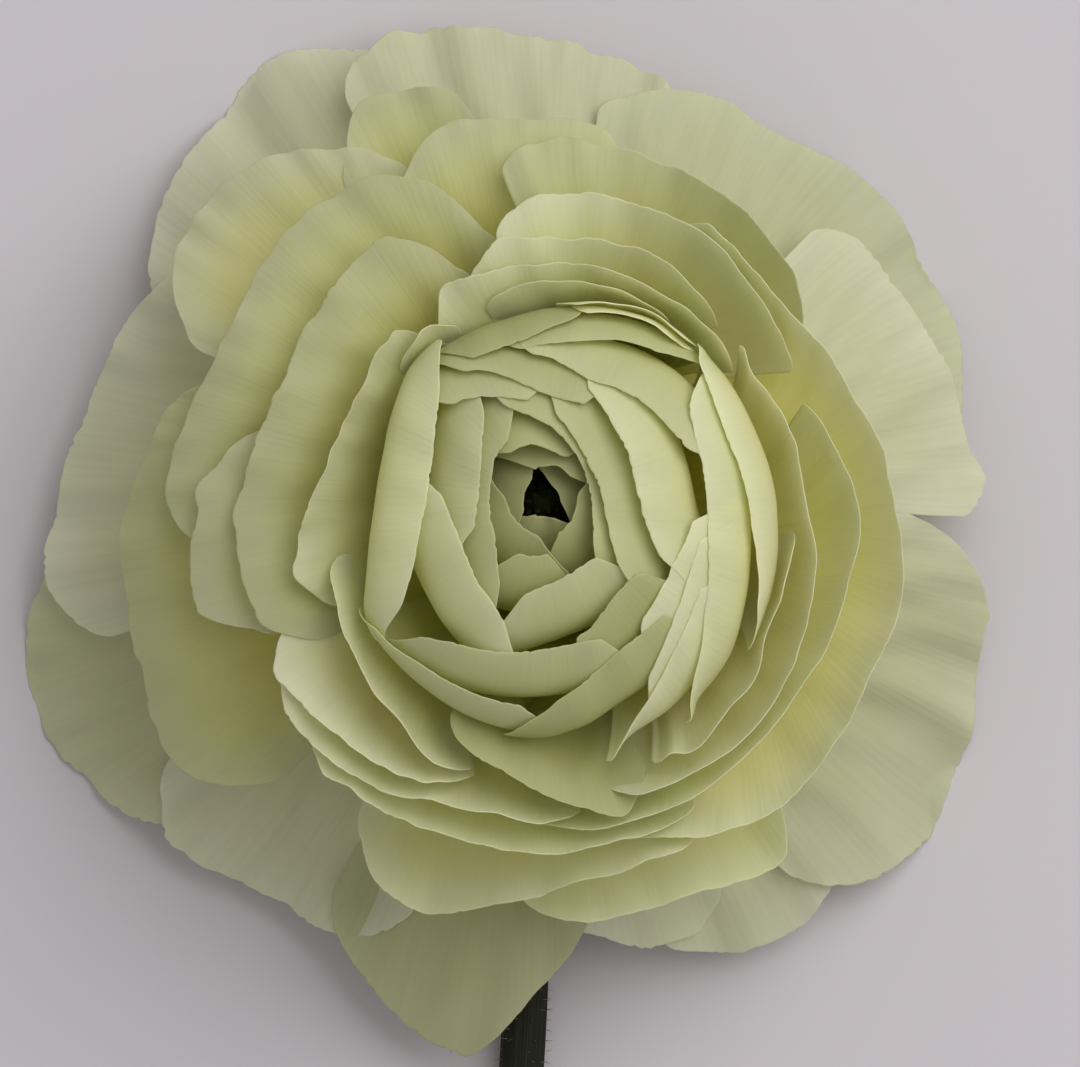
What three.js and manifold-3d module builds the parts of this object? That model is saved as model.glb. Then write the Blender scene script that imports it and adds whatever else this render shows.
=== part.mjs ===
// A cut ranunculus flower, laid on a flat surface with its face up and its stem bent under the bloom.
// Millimetres, +Z up. The bloom grows round the line x = 0, y = 0, and the surface it lies on is z = 0.
// The last step moves the whole flower so that the origin is under its middle.
// Angles are in degrees, anticlockwise from +X, seen from above.

import * as THREE from 'three';
import { mergeVertices } from 'three/addons/utils/BufferGeometryUtils.js';
import Module from 'manifold-3d';

const wasm = await Module();
wasm.setup();

// Petals
const PETAL_THICKNESS = 0.6;
const WIDEST_AT = 0.7; // how far up a petal is widest, as a share of its length
const ROOT_PULL = 0.42; // how long a profile keeps its direction at the root, as a share of its chord
const RIM_PULL = 0.36; // the same at the rim
const INWARD_PULL = 0.7; // the same at a rim that leans inward, which makes its face flat
const PULL_OVER = 5.5; // millimetres inside the upright circle over which it comes to that
const LOWEST_MIDDLE = 0.31; // a petal that reaches the surface flattens on it at this height

// Inside this circle petals lean inward over the heart, and outside it they lean outward.
// It is set off from the axis, because the heart faces down and right.
const UPRIGHT_RADIUS = 21.6;
const UPRIGHT_OFFSET = 3;
const UPRIGHT_ANGLE = -50;

// On one side the petals lie open, and on the other they stand in a funnel.
const OPEN_ANGLE = 150;
const OPEN_SPREAD = 0.85;

// Rim heights of the inner petals: a dome with a dip at the hole, and a fall outside the upright circle
const TOP_HEIGHT = 45.6;
const DOME_FALL = 0.012; // for each square millimetre of radius
const HOLE_RADIUS = 8;
const HOLE_DIP = 0.12; // for each square millimetre inside the hole's radius
const FUNNEL_FALL = [0.22, 0.03]; // for each millimetre, and each square millimetre, outside the circle
const OPEN_FALL = [0.4, 0.02];
const OUTER_RADIUS = 34; // outside it the petals hang lower still
const OUTER_FALL = 0.45;

// Rim directions of the inner petals: how far they turn from upright, and over how many millimetres
const INWARD_TURN = 70;
const INWARD_OVER = 4;
const INWARD_EASE = 1.3; // over 1, so that the turn begins gently
const OUTWARD_TURN = 140;
const FUNNEL_OVER = 64;
const OPEN_OVER = 6.5;
const OUTER_TURN = 3; // degrees more for each millimetre outside the outer radius, in the funnel

// Guard petals: the outermost whorl, which the flower lies on
const GUARD_RIM_HEIGHT = 6; // at the rim radius below
const GUARD_RIM_RADIUS = 44;
const GUARD_FALL = 0.2; // how much lower a rim lies for each millimetre that it reaches further
const GUARD_RIM_LEAN = -26;
const STEM_RAISE = 3.5; // how far the stem holds up the guards that lie over it
const STEM_ANGLE = 266;
const STEM_SPREAD = 24; // degrees to each side over which that dies away

// Whorls. rims holds the rim radii over which roots and directions change, from the innermost petal's to
// the outermost's. root is [radius, height] on the receptacle, lean the direction there, in degrees above
// level, and rootWidth a petal's width at its root as a share of its widest.
const GUARD_WHORL = { rims: [40, 54], root: [[7.0, 17.3], [7.9, 16.0]], lean: [9, 0], rootWidth: 0.75 };
const CUP_WHORL = { rims: [17, 44], root: [[5.3, 21.6], [6.9, 18.6]], lean: [50, 20], rootWidth: 0.5 };
const HEART_WHORL = { rims: [0, 26], root: [[2.0, 25.6], [4.6, 23.0]], lean: [84, 46], rootWidth: 0.4 };

// The receptacle in slices, each as [bottom, top, bottom radius, top radius]
const SEPAL_SLICE = [12.9, 15.0, 4.6, 6.6];
const GUARD_SLICE = [15.3, 17.9, 8.4, 8.2];
const CUP_SLICE = [18.2, 22.0, 7.6, 6.0];
const HEART_SLICE = [22.3, 26.0, 5.4, 2.9];
const SLICE_SIDES = 24;

// Cells of a petal: so many degrees each across, and so many up
const GUARD_CELLS = [9, 6];
const CUP_CELLS = [16, 5];
const HEART_CELLS = [25, 4];

// Sepals: five blades that arch out from under the guards and turn down at the tip
const SEPAL_COUNT = 5;
const SEPAL_TURN = 18; // degrees from +X to the first
const SEPAL_THICKNESS = 0.7;
const SEPAL_ROOT = [4.4, 14.3];
const SEPAL_LENGTH = 10.5;
const SEPAL_ARCH = 0.9;
const SEPAL_DROP = 3.2;
const SEPAL_ROOT_HALF_WIDTH = 2.1;
const SEPAL_NARROWING = 0.95; // how much of the half width is lost along the whole length
const SEPAL_SWELL = 2.7; // how much is added at the widest
const SEPAL_SWELL_LATE = 1.15; // over 1, so that the widest place is past the middle
const SEPAL_TAPER = 0.35; // share of the swell that the tip takes back
const SEPAL_ARCH_TURN = 144; // degrees of a sine wave along the length
const SEPAL_CURL = 0.35; // how far the side edges hang
const SEPAL_CELLS = [4, 6];

// The stem: its route as points of its centre line
const STEM_RADIUS = 2.4;
const STEM_SIDES = 12;
const STEM_STEPS = 32;
const STEM_ROUTE = [
  [0, 0, 12.4], [0, -0.2, 10.4], [-0.1, -1.6, 7.4], [-0.2, -4.6, 4.5], [-0.4, -9, 2.85], [-0.6, -15, 2.45],
  [-1.3, -30, 2.45], [-2.3, -54, 2.45], [-4.8, -85, 2.45], [-7.6, -110, 2.45], [-9.2, -134, 2.45],
];
const TIP_BOTTOM = 9.6; // the swollen tip that carries the bloom
const TIP_TOP = 12.6;
const TIP_RADIUS = 4.2;

// The carpel head, deep in the heart: a core as [radius, height], and small pointed carpels round it
const CARPEL_CORE = [[0, 26.3], [1.5, 26.3], [2.1, 28.2], [2.3, 30.6], [1.9, 33.4], [1.0, 35.6], [0, 36.2]];
const CORE_SIDES = 12;
const CARPEL_COUNT = 22;
const CARPEL_SIDES = 5;
const CARPEL_LENGTH = 1.2;
const CARPEL_RADIUS = 0.55;
const CARPEL_HEIGHTS = [28.8, 35.5];
const CARPEL_SINK = 0.35; // how deep a carpel's middle sits in the core
const CARPEL_RISES = [0.7, 2.2]; // how steeply they point up, for each millimetre outward
const CARPEL_SHIFT = 0.3; // how far a carpel's middle stands out from its place on the core
const GOLDEN_ANGLE = 137.508;

// Petals. Each rim is a list of [angle, radius, reach, lift]: the radius of the rim seen from above, how far
// up its shell the rim reaches (1 when left out, less at a rounded corner), and how far it is lifted.
// A guard's tier is 0 when it roots high and 1 when it roots low. A tilt leans a petal further out, in degrees.
const GUARDS = [
  { tier: 0.5, rim: [[6, 40.6, 0.9, -2.4], [13, 41.1, 1, -3.2], [20, 42.2, 1, -4.6], [32, 43.1, 1, -6],
    [46, 43.3, 1, -6], [58, 41.6, 1, -3], [66, 42.1, 1, -1], [74, 41, 1, 0.3], [82, 40.5, 0.93, 1]] },
  { tier: 1, rim: [[70, 42.4, 0.95, -1.4], [80, 43, 1, -1.2], [90, 44.2, 1, -0.2], [101, 46.3, 1, 0.6],
    [108, 47.2, 1, 1], [116, 46.8, 0.95, 1.2]] },
  { tier: 0.6, rim: [[107, 47.8, 0.97, -1.5], [113, 47.4, 1, -3], [119, 49.1, 1, -4.8],
    [126, 49.6, 1, -5.2], [130, 48.3, 1, -4], [136, 47.7, 1, -2.4], [144, 46.3, 1, -1.4],
    [154, 44.2, 0.93, -0.8]] },
  { tier: 0, rim: [[147, 43.2, 0.95, 0.6], [157, 43.6, 1, 0.3], [166, 44.5], [178, 46.6],
    [190, 48.3, 1, 0.4], [197, 48.5, 0.93, 1.2]] },
  { tier: 1, rim: [[185, 50.5, 0.9, -1.8], [195, 51.8, 1, -4.2], [200, 52.7, 1, -4.7],
    [209, 52.5, 1, -3.6], [215, 51, 1, -2.4], [222, 49.8, 0.93, -1.8]] },
  { tier: 0, rim: [[215, 47.6, 0.95, 0.8], [223, 48.4, 1, -0.4], [233, 46.8, 1, -0.6], [244, 46.1, 1, 0.6],
    [252, 45.5, 0.93, 1.4]] },
  { tier: 1, rim: [[242, 50.5, 0.85], [251, 52, 0.95], [258, 53.2], [262, 53.7], [269, 53, 0.86, 0.4],
    [276, 52, 0.74, 0.4]] },
  { tier: 0, rim: [[268, 43.6, 0.88, 1], [276, 43.6, 0.94, 1], [283, 44, 1, 0.6], [289, 44],
    [295, 44, 0.93]] },
  { tier: 1, rim: [[284, 46.6, 0.93, -1.6], [294, 47.4, 1, -1.8], [302, 47.5, 1, -1.8],
    [309, 46.9, 0.95, -1.4]] },
  { tier: 0, rim: [[303, 46.6, 0.93, 0.8], [311, 48.1, 1, -1.6], [320, 48.9, 1, -5.2],
    [328, 46.9, 1, -5.6], [340, 44.5, 1, -2.2], [346, 43.8, 1, -0.4], [352, 42.6, 0.95, 0.6],
    [357.5, 42, 0.83, 1]] },
  { tier: 0, rim: [[-2, 41.6, 0.97], [3, 42.4, 1, 0.2], [7, 41.2, 1, 0.6], [15, 40.6, 1, 1.2],
    [25, 39.7, 1, 1.6], [32, 39.3, 1, 1.8], [40, 38.9, 1, 2], [45, 38.4, 0.95, 2]] },
];

const CUPS = [
  { rim: [[115, 40.4, 0.87], [121, 40.8, 0.94], [130, 42.2], [138, 43], [146, 42.5], [154, 41.2, 0.93]] },
  { rim: [[99, 38, 0.88], [103, 39.9], [107, 41.1], [111, 41.7], [115, 41.8], [120, 41.2, 0.9]] },
  { rim: [[163, 38.2, 0.93], [173, 38.2], [180, 39.8], [192, 41], [205, 41.9], [209, 43], [216, 43.3],
    [224, 42.8, 0.93]] },
  { rim: [[74, 35.4, 0.9], [82, 35.9], [94, 36.3], [105, 36.9], [113, 36.6, 0.93]] },
  { rim: [[103, 33.9, 0.74], [112, 34.4, 0.94], [123, 35.3], [138, 35.1], [152, 34], [162, 34.4],
    [171, 35.4], [180, 36], [187, 36.2, 0.93]] },
  { rim: [[166, 32.6, 0.85], [172, 32.6, 0.93], [178, 32.8], [185, 33.4], [193, 34.5], [198, 34.6],
    [204, 34.4, 0.88]] },
  { rim: [[111, 28.2, 0.86], [116, 28.6, 0.95], [123, 29.2], [137, 28.3], [149, 27.7], [161, 27.4],
    [174, 28.5], [184, 29.5], [202, 29.6], [209, 29.6, 0.95]] },
  { rim: [[124, 22.3, 0.85], [132, 21.7], [152, 20.5], [168, 20.8], [180, 21.9], [189, 23.7], [196, 24.8],
    [204, 26, 0.95]] },
  { rim: [[34, 31, 0.9], [43, 31.8], [48, 32.3], [54, 33], [61, 33.5], [70, 33.8], [80, 34.1], [89, 34.4],
    [97, 34.4, 0.93]] },
  { rim: [[28, 27, 0.93], [37, 27.4], [53, 28.5], [60, 29.2], [70, 29.4], [82, 29.3], [92, 28.9],
    [100, 28.4, 0.93]] },
  { rim: [[46, 24.3, 0.9], [53, 24.4], [66, 25], [90, 25], [100, 25], [109, 25.2, 0.9]] },
  { rim: [[35, 21.8, 0.93], [41, 22], [66, 22.4], [90, 22.3], [116, 22.2], [124, 21, 0.85]] },
  { rim: [[56, 20.8, 0.93], [75, 20.8], [90, 20.7], [106, 20.7, 0.93]] },
  { rim: [[-82, 33.6, 0.88], [-72, 34.2, 0.96], [-64, 35.4], [-54, 36.4], [-44, 36.1], [-31, 35],
    [-17, 34.9], [-10, 34.4], [0, 32.8], [10, 31.9], [22, 30.4], [29, 29.6], [38, 29.2], [44, 29.1],
    [53, 29.4], [60, 30.2], [66, 30.8, 0.9]] },
  { rim: [[-92, 31.6, 0.9], [-80, 31.5], [-70, 31.3], [-60, 31], [-50, 30.6], [-39, 30], [-29, 29.7],
    [-18, 29.9], [-5, 29.5], [0, 29.3], [10, 28], [20, 26.9, 0.93]] },
  { rim: [[-78, 28.8, 0.9], [-72, 29.1], [-64, 29.3], [-54, 29.3], [-44, 28.9], [-33, 27.9], [-25, 27.3],
    [-15, 26.2], [-5, 25.1], [1, 24.6], [10, 24], [17, 23.8], [25, 23.3], [33, 22.8], [38, 23.7]] },
  { rim: [[-67, 27.3, 0.95], [-64, 26.6], [-61, 27.2], [-57, 27.1], [-52, 26.7], [-46, 26.2], [-40, 25.7],
    [-35, 25], [-29, 24.2], [-21, 23.7], [-14, 23.9], [-8, 23.9, 0.93]] },
  { rim: [[242, 40, 0.95], [249, 40.3], [254, 41], [259, 39.6], [270, 37.1], [281, 35.8], [289, 35.4],
    [296, 35.8, 0.95]] },
  { rim: [[266, 40.8, 0.93], [276, 40.3], [283, 39.9], [290, 39.8], [296, 40.6], [301, 41.1], [304, 40.8],
    [308, 40.2, 0.9]] },
  { rim: [[222, 33.4, 0.9], [231, 33.2], [253, 33], [270, 33.3], [286, 32.9], [296, 33.4, 0.93]] },
  { rim: [[210, 31.9, 0.9], [219, 31.9], [227, 31.9], [243, 31.4], [250, 30.4], [261, 29.7], [269, 30.5],
    [276, 30.8, 0.93]] },
  { rim: [[206, 30.8, 0.9], [213, 30.5], [218, 30.3], [226, 29.8], [235, 29.5], [247, 29],
    [255, 28.2, 0.9]] },
  { rim: [[196, 22.3, 0.9], [205, 22.5], [212, 23], [225, 23.7], [235, 24.9], [247, 26.9],
    [254, 26.9, 0.93]] },
  { tilt: 15, rim: [[247, 24.7, 0.93], [257, 25.4], [265, 26.6], [277, 29.4], [284, 30.8],
    [290, 30.8, 0.88]] },
];

const HEARTS = [
  { rim: [[128, 15, 0.93], [135, 13.8], [142, 12.7], [155, 11.5], [168, 11], [185, 11.3], [201, 12.8],
    [211, 14.6], [217, 16.6], [220, 18, 0.95]] },
  { rim: [[46, 19.6, 0.93], [50, 19.9], [56, 20.2], [61, 20.2], [66, 19.9], [72, 19.3], [80, 18.6],
    [86, 18.1, 0.93]] },
  { rim: [[46, 18.6, 0.93], [54, 19.1], [59, 19.2], [63, 19.1], [67, 18.9], [71, 18.5], [77, 17.9],
    [81, 17.5, 0.95]] },
  { rim: [[80, 17.2], [91, 15.7], [98, 15], [108, 14.7], [117, 14.9], [125, 15.6, 0.93]] },
  { rim: [[40, 18.1, 0.93], [53, 17.3], [64, 16.5], [76, 15.3], [86, 14.6], [98, 14.3],
    [108, 14.1, 0.95]] },
  { rim: [[-36, 23.6, 0.95], [-26, 22.1], [-18, 21], [-9, 19.7], [-1, 19], [7, 18.5], [17, 18.1],
    [26, 18.1], [34, 18.5], [42, 19.3], [45, 20.2]] },
  { rim: [[-57, 24.8], [-55, 23.4], [-50, 21.6], [-44, 20.2], [-37, 18.6], [-28, 17.2], [-14, 15.7],
    [2, 15.1], [14, 15], [27, 15.4], [34, 16.2], [38, 17.6]] },
  { rim: [[-76, 25.2], [-73, 24], [-69, 22.6], [-63, 21.2], [-56, 19.7], [-51, 18.8], [-45, 18],
    [-36, 17.2], [-30, 16.7], [-24, 16.3, 0.93]] },
  { rim: [[-63, 20.2, 0.97], [-60, 19.3], [-52, 17.7], [-44, 16.5], [-34, 15.6], [-25, 15.1], [-15, 14.9],
    [-6, 14.9, 0.9]] },
  { rim: [[261, 21.8, 0.97], [265, 21], [271, 19.5], [274, 18.7], [280, 17.8], [286, 16.8], [293, 16],
    [301, 15.5], [309, 15.4], [316, 15.4], [320, 15.5, 0.93]] },
  { rim: [[211, 20.3, 0.93], [217, 19.9], [223, 19.7], [231, 19.4], [238, 19.3], [245, 19.2], [252, 19.3],
    [258, 19.4], [263, 19.4], [269, 19.3, 0.95]] },
  { rim: [[222, 18, 0.93], [228, 17.1], [237, 15.9], [247, 15.2], [256, 14.7], [265, 14.2], [274, 13.9],
    [283, 13.7], [292, 14], [300, 14.8, 0.93]] },
  { rim: [[11, 14.7, 0.93], [19, 14.1], [28, 13.5], [39, 13.1], [51, 12.6], [61, 12.2], [69, 11.9],
    [78, 12.4], [88, 13.2], [95, 13.5], [101, 13.7, 0.96]] },
  { rim: [[-59, 15.1, 0.93], [-52, 14.5], [-44, 14], [-35, 13.6], [-25, 13.4], [-16, 13.7], [-8, 14],
    [-1, 14.5, 0.93]] },
  { rim: [[-30, 13, 0.97], [-27, 11.9], [-18, 10.2], [-4, 8.9], [14, 8.6], [28, 8.8], [45, 9.3],
    [58, 10.1], [69, 11.1], [76, 11.8, 0.93]] },
  { rim: [[-80, 13.3, 0.93], [-77, 13.1], [-72, 12.9], [-62, 11.7], [-48, 10.9], [-37, 11.3],
    [-32, 12.4, 0.93]] },
  { rim: [[60, 9.6, 0.93], [68, 9.6], [85, 9.6], [97, 10.5], [106, 11.7], [115, 13.2], [122, 14],
    [128, 14.7, 0.95]] },
  { rim: [[166, 10.7, 0.95], [178, 9.6], [200, 8.8], [219, 9.2], [232, 10], [243, 10.8], [252, 12.1],
    [262, 14, 0.95]] },
  { rim: [[-47, 10.6, 0.97], [-42, 8.9], [-28, 6.8], [-8, 5.6], [27, 5.1], [55, 5.8], [76, 7.2], [84, 8.1],
    [91, 9, 0.93]] },
  { rim: [[89, 8.4, 0.93], [101, 9.4], [110, 10.1], [121, 11.2], [128, 11.9], [134, 12.3],
    [140, 12.6, 0.95]] },
  { rim: [[120, 10.3, 0.95], [125, 9.6], [137, 8], [153, 6.8], [175, 6.2], [201, 7], [216, 8.5, 0.93]] },
  { rim: [[249, 10.2, 0.93], [257, 9.2], [265, 8.4], [280, 7.5], [299, 7.1], [312, 7.2],
    [321, 7.7, 0.93]] },
  { rim: [[103, 7.6, 0.93], [120, 6.6], [139, 6.1], [156, 5.5], [174, 5.2], [199, 5.3], [220, 6],
    [234, 7.5], [243, 9.1], [250, 11, 0.93]] },
  { rim: [[-59, 6.7, 0.95], [-42, 5.9], [-24, 4.8], [1, 4.3], [30, 4.4], [46, 4.8], [64, 5.4], [78, 6.2],
    [87, 6.8], [97, 7.6], [107, 8.5], [114, 9.5], [120, 10.6, 0.95]] },
  { rim: [[228, 6.3, 0.93], [243, 5.7], [260, 5.4], [274, 5.1], [286, 4.8, 0.93]] },
  { rim: [[100, 2.7, 0.95], [126, 2.5], [166, 2.4], [206, 2.5], [232, 2.7, 0.95]] },
  { rim: [[205, 2.1, 0.95], [237, 2.2], [269, 2.1], [296, 2.4], [325, 2.7, 0.95]] },
  { rim: [[-50, 2.3, 0.95], [-14, 2], [28, 1.8], [70, 1.9], [110, 2.2, 0.95]] },
];

// Small helpers
const cosd = (angle) => Math.cos(THREE.MathUtils.degToRad(angle));
const sind = (angle) => Math.sin(THREE.MathUtils.degToRad(angle));
const { lerp, clamp, smoothstep } = THREE.MathUtils;
const mix = ([from, to], share) => lerp(from, to, share);
const lathe = (profile, sides) => new THREE.LatheGeometry(
  profile.map(([r, z]) => new THREE.Vector2(r, z)), sides,
).rotateX(Math.PI / 2);

// The value of a rim's column at an angle: a cubic through the points, with slopes from their neighbours.
function alongRim(rim, angle, column, missing) {
  const value = (i) => rim[i][column] ?? missing;
  const slope = (i) => {
    const before = Math.max(i - 1, 0);
    const after = Math.min(i + 1, rim.length - 1);
    return (value(after) - value(before)) / (rim[after][0] - rim[before][0]);
  };
  let i = 0;
  while (i < rim.length - 2 && angle > rim[i + 1][0]) {
    i += 1;
  }
  const width = rim[i + 1][0] - rim[i][0];
  const x = clamp((angle - rim[i][0]) / width, 0, 1);
  const back = 1 - x;
  return (1 + 2 * x) * back * back * value(i) + x * back * back * width * slope(i)
    + x * x * (3 - 2 * x) * value(i + 1) - x * x * back * width * slope(i + 1);
}

// The petal family. A shell is the surface that a petal is cut from. At each angle its profile is a cubic
// Bezier curve from the receptacle to the rim, and profiles with different rim radii don't cross.

function uprightRadius(angle) {
  return UPRIGHT_RADIUS + UPRIGHT_OFFSET * cosd(angle - UPRIGHT_ANGLE);
}

// 1 where the petals lie open, 0 where they stand in a funnel
function openness(angle) {
  return smoothstep(0.5 + OPEN_SPREAD * cosd(angle - OPEN_ANGLE), 0, 1);
}

function guardRimHeight(radius, angle) {
  const turn = THREE.MathUtils.euclideanModulo(angle - STEM_ANGLE + 180, 360) - 180;
  const raise = STEM_RAISE * Math.exp(-((turn / STEM_SPREAD) ** 2));
  return GUARD_RIM_HEIGHT - GUARD_FALL * (radius - GUARD_RIM_RADIUS) + raise;
}

function innerRimHeight(radius, angle) {
  const upright = uprightRadius(angle);
  const open = openness(angle);
  const out = Math.max(0, radius - upright);
  const dome = TOP_HEIGHT - DOME_FALL * Math.min(radius, upright) ** 2;
  const dip = HOLE_DIP * Math.max(0, HOLE_RADIUS - radius) ** 2;
  const slope = lerp(FUNNEL_FALL[0], OPEN_FALL[0], open);
  const bend = lerp(FUNNEL_FALL[1], OPEN_FALL[1], open);
  return dome - dip - slope * out - bend * out * out - OUTER_FALL * Math.max(0, radius - OUTER_RADIUS);
}

// A rim's direction in degrees above level: over 90 it leans inward, under 90 outward.
function innerRimLean(radius, angle) {
  const upright = uprightRadius(angle);
  const open = openness(angle);
  const inside = Math.max(0, upright - radius);
  const outside = Math.max(0, radius - upright);
  const inward = INWARD_TURN * (1 - Math.exp(-((inside / INWARD_OVER) ** INWARD_EASE)));
  const outward = OUTWARD_TURN * (1 - Math.exp(-outside / lerp(FUNNEL_OVER, OPEN_OVER, open)));
  const outermost = OUTER_TURN * (1 - open) * Math.max(0, radius - OUTER_RADIUS);
  return 90 + inward - outward - outermost;
}

function innerRimPull(radius, angle) {
  const inside = Math.max(0, uprightRadius(angle) - radius);
  return lerp(RIM_PULL, INWARD_PULL, 1 - Math.exp(-inside / PULL_OVER));
}

// The point of a shell at an angle and at a share of its profile, 0 at the root and 1 at the rim. A guard's
// tier says how low it roots, and the other petals root lower the wider their rims are. A petal's tilt is
// how many degrees further out it leans than the family.
function shellPoint(whorl, { tier = 0, tilt = 0 }, radius, angle, share, lift) {
  const isGuard = whorl === GUARD_WHORL;
  const across = clamp((radius - whorl.rims[0]) / (whorl.rims[1] - whorl.rims[0]), 0, 1);
  const down = isGuard ? tier : across;
  const rootRadius = lerp(whorl.root[0][0], whorl.root[1][0], down);
  const rootHeight = lerp(whorl.root[0][1], whorl.root[1][1], down);
  const rootLean = mix(whorl.lean, across);
  const rimHeight = (isGuard ? guardRimHeight(radius, angle) : innerRimHeight(radius, angle)) + lift;
  const rimLean = (isGuard ? GUARD_RIM_LEAN : innerRimLean(radius, angle)) - tilt;
  const chord = Math.hypot(radius - rootRadius, rimHeight - rootHeight);
  const first = ROOT_PULL * chord;
  const last = (isGuard ? RIM_PULL : innerRimPull(radius, angle)) * chord;
  const profile = new THREE.CubicBezierCurve(
    new THREE.Vector2(rootRadius, rootHeight),
    new THREE.Vector2(rootRadius + first * cosd(rootLean), rootHeight + first * sind(rootLean)),
    new THREE.Vector2(radius - last * cosd(rimLean), rimHeight - last * sind(rimLean)),
    new THREE.Vector2(radius, rimHeight),
  );
  const at = profile.getPoint(share);
  return new THREE.Vector3(at.x * cosd(angle), at.x * sind(angle), Math.max(at.y, LOWEST_MIDDLE));
}

// The middle surface of a petal. across runs from -1 to 1 between its side edges, up from 0 to 1.
function petalPoint(whorl, petal, across, up) {
  const first = petal.rim[0][0];
  const last = petal.rim[petal.rim.length - 1][0];
  const middle = (first + last) / 2;
  const half = (last - first) / 2;
  const rimAngle = middle + half * across;
  const angle = middle + half * across * lerp(whorl.rootWidth, 1, smoothstep(up, 0, WIDEST_AT));
  const radius = alongRim(petal.rim, rimAngle, 1, 0);
  const reach = Math.min(1, alongRim(petal.rim, rimAngle, 2, 1));
  const lift = alongRim(petal.rim, rimAngle, 3, 0);
  return shellPoint(whorl, petal, radius, angle, reach * up, lift * up);
}

function solidFrom(positions, triangles) {
  return new wasm.Manifold(new wasm.Mesh({
    numProp: 3,
    vertProperties: new Float32Array(positions),
    triVerts: new Uint32Array(triangles),
  }));
}

// The grid points round the edge of a blade, in order
function gridEdge(cellsAcross, cellsUp) {
  const row = cellsAcross + 1;
  const count = (n) => [...Array(n).keys()];
  return [
    ...count(cellsAcross),
    ...count(cellsUp).map((j) => j * row + cellsAcross),
    ...count(cellsAcross).map((i) => cellsUp * row + cellsAcross - i),
    ...count(cellsUp).map((j) => (cellsUp - j) * row),
  ];
}

// A closed blade of even thickness over a grid of cells. Both faces are split into triangles alike.
function blade(pointAt, [cellsAcross, cellsUp], thickness) {
  const step = 1e-3;
  const front = [];
  const back = [];
  for (let j = 0; j <= cellsUp; j += 1) {
    for (let i = 0; i <= cellsAcross; i += 1) {
      const across = -1 + (2 * i) / cellsAcross;
      const up = j / cellsUp;
      const sideways = pointAt(across + step, up).sub(pointAt(across - step, up));
      const upward = pointAt(across, Math.min(1, up + step)).sub(pointAt(across, Math.max(0, up - step)));
      const offset = sideways.cross(upward).setLength(thickness / 2);
      front.push(pointAt(across, up).add(offset));
      back.push(pointAt(across, up).sub(offset));
    }
  }
  const row = cellsAcross + 1;
  const behind = front.length;
  const triangles = [];
  for (let j = 0; j < cellsUp; j += 1) {
    for (let i = 0; i < cellsAcross; i += 1) {
      const a = j * row + i;
      const [b, c, d] = [a + 1, a + row + 1, a + row];
      triangles.push(a, b, c, a, c, d);
      triangles.push(behind + a, behind + c, behind + b, behind + a, behind + d, behind + c);
    }
  }
  const edge = gridEdge(cellsAcross, cellsUp);
  edge.forEach((a, k) => {
    const b = edge[(k + 1) % edge.length];
    triangles.push(a, behind + a, behind + b, a, behind + b, b);
  });
  return solidFrom([...front, ...back].flatMap((point) => point.toArray()), triangles);
}

// Turns a closed geometry into a solid that can be joined.
function solidOf(geometry) {
  const bare = geometry.clone();
  bare.deleteAttribute('normal');
  bare.deleteAttribute('uv');
  const merged = mergeVertices(bare, 1e-4);
  return solidFrom(merged.attributes.position.array, merged.index.array);
}

// Joins solids into one body. Its largest shell is kept, so a sealed hollow is filled and a scrap dropped.
function join(solids) {
  const shells = wasm.Manifold.union(solids).decompose();
  return shells.reduce((largest, shell) => (shell.volume() > largest.volume() ? shell : largest));
}

function meshOf(name, solid, colour, roughness) {
  const { vertProperties, triVerts } = solid.getMesh();
  const geometry = new THREE.BufferGeometry();
  geometry.setAttribute('position', new THREE.BufferAttribute(vertProperties, 3));
  geometry.setIndex(new THREE.BufferAttribute(triVerts, 1));
  geometry.computeVertexNormals();
  const material = new THREE.MeshStandardMaterial({ color: colour, roughness, metalness: 0 });
  const mesh = new THREE.Mesh(geometry, material);
  mesh.name = name;
  return mesh;
}

// A round slice of the receptacle
function slice([bottom, top, bottomRadius, topRadius]) {
  return solidOf(lathe([[0, bottom], [bottomRadius, bottom], [topRadius, top], [0, top]], SLICE_SIDES));
}

// A whorl of petals fused to its slice of the receptacle
function whorlOf(whorl, petals, receptacle, [cellWidth, cellsUp]) {
  const blades = petals.map((petal) => {
    const span = petal.rim[petal.rim.length - 1][0] - petal.rim[0][0];
    const cells = [Math.ceil(span / cellWidth), cellsUp];
    return blade((across, up) => petalPoint(whorl, petal, across, up), cells, PETAL_THICKNESS);
  });
  return join([slice(receptacle), ...blades]);
}

// The middle surface of a sepal, which is widest past its middle and narrows to a round tip
function sepalPoint(turn, across, up) {
  const out = SEPAL_ROOT[0] + SEPAL_LENGTH * up;
  const height = SEPAL_ROOT[1] + SEPAL_ARCH * sind(SEPAL_ARCH_TURN * up) - SEPAL_DROP * up * up;
  const swell = sind(180 * up ** SEPAL_SWELL_LATE) - SEPAL_TAPER * up;
  const side = across * (SEPAL_ROOT_HALF_WIDTH - SEPAL_NARROWING * up + SEPAL_SWELL * swell);
  return new THREE.Vector3(
    out * cosd(turn) - side * sind(turn),
    out * sind(turn) + side * cosd(turn),
    height - SEPAL_CURL * across * across,
  );
}

function sepals() {
  const blades = Array.from({ length: SEPAL_COUNT }, (_, i) => {
    const turn = SEPAL_TURN + (360 * i) / SEPAL_COUNT;
    return blade((across, up) => sepalPoint(turn, across, up), SEPAL_CELLS, SEPAL_THICKNESS);
  });
  return join([slice(SEPAL_SLICE), ...blades]);
}

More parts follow.
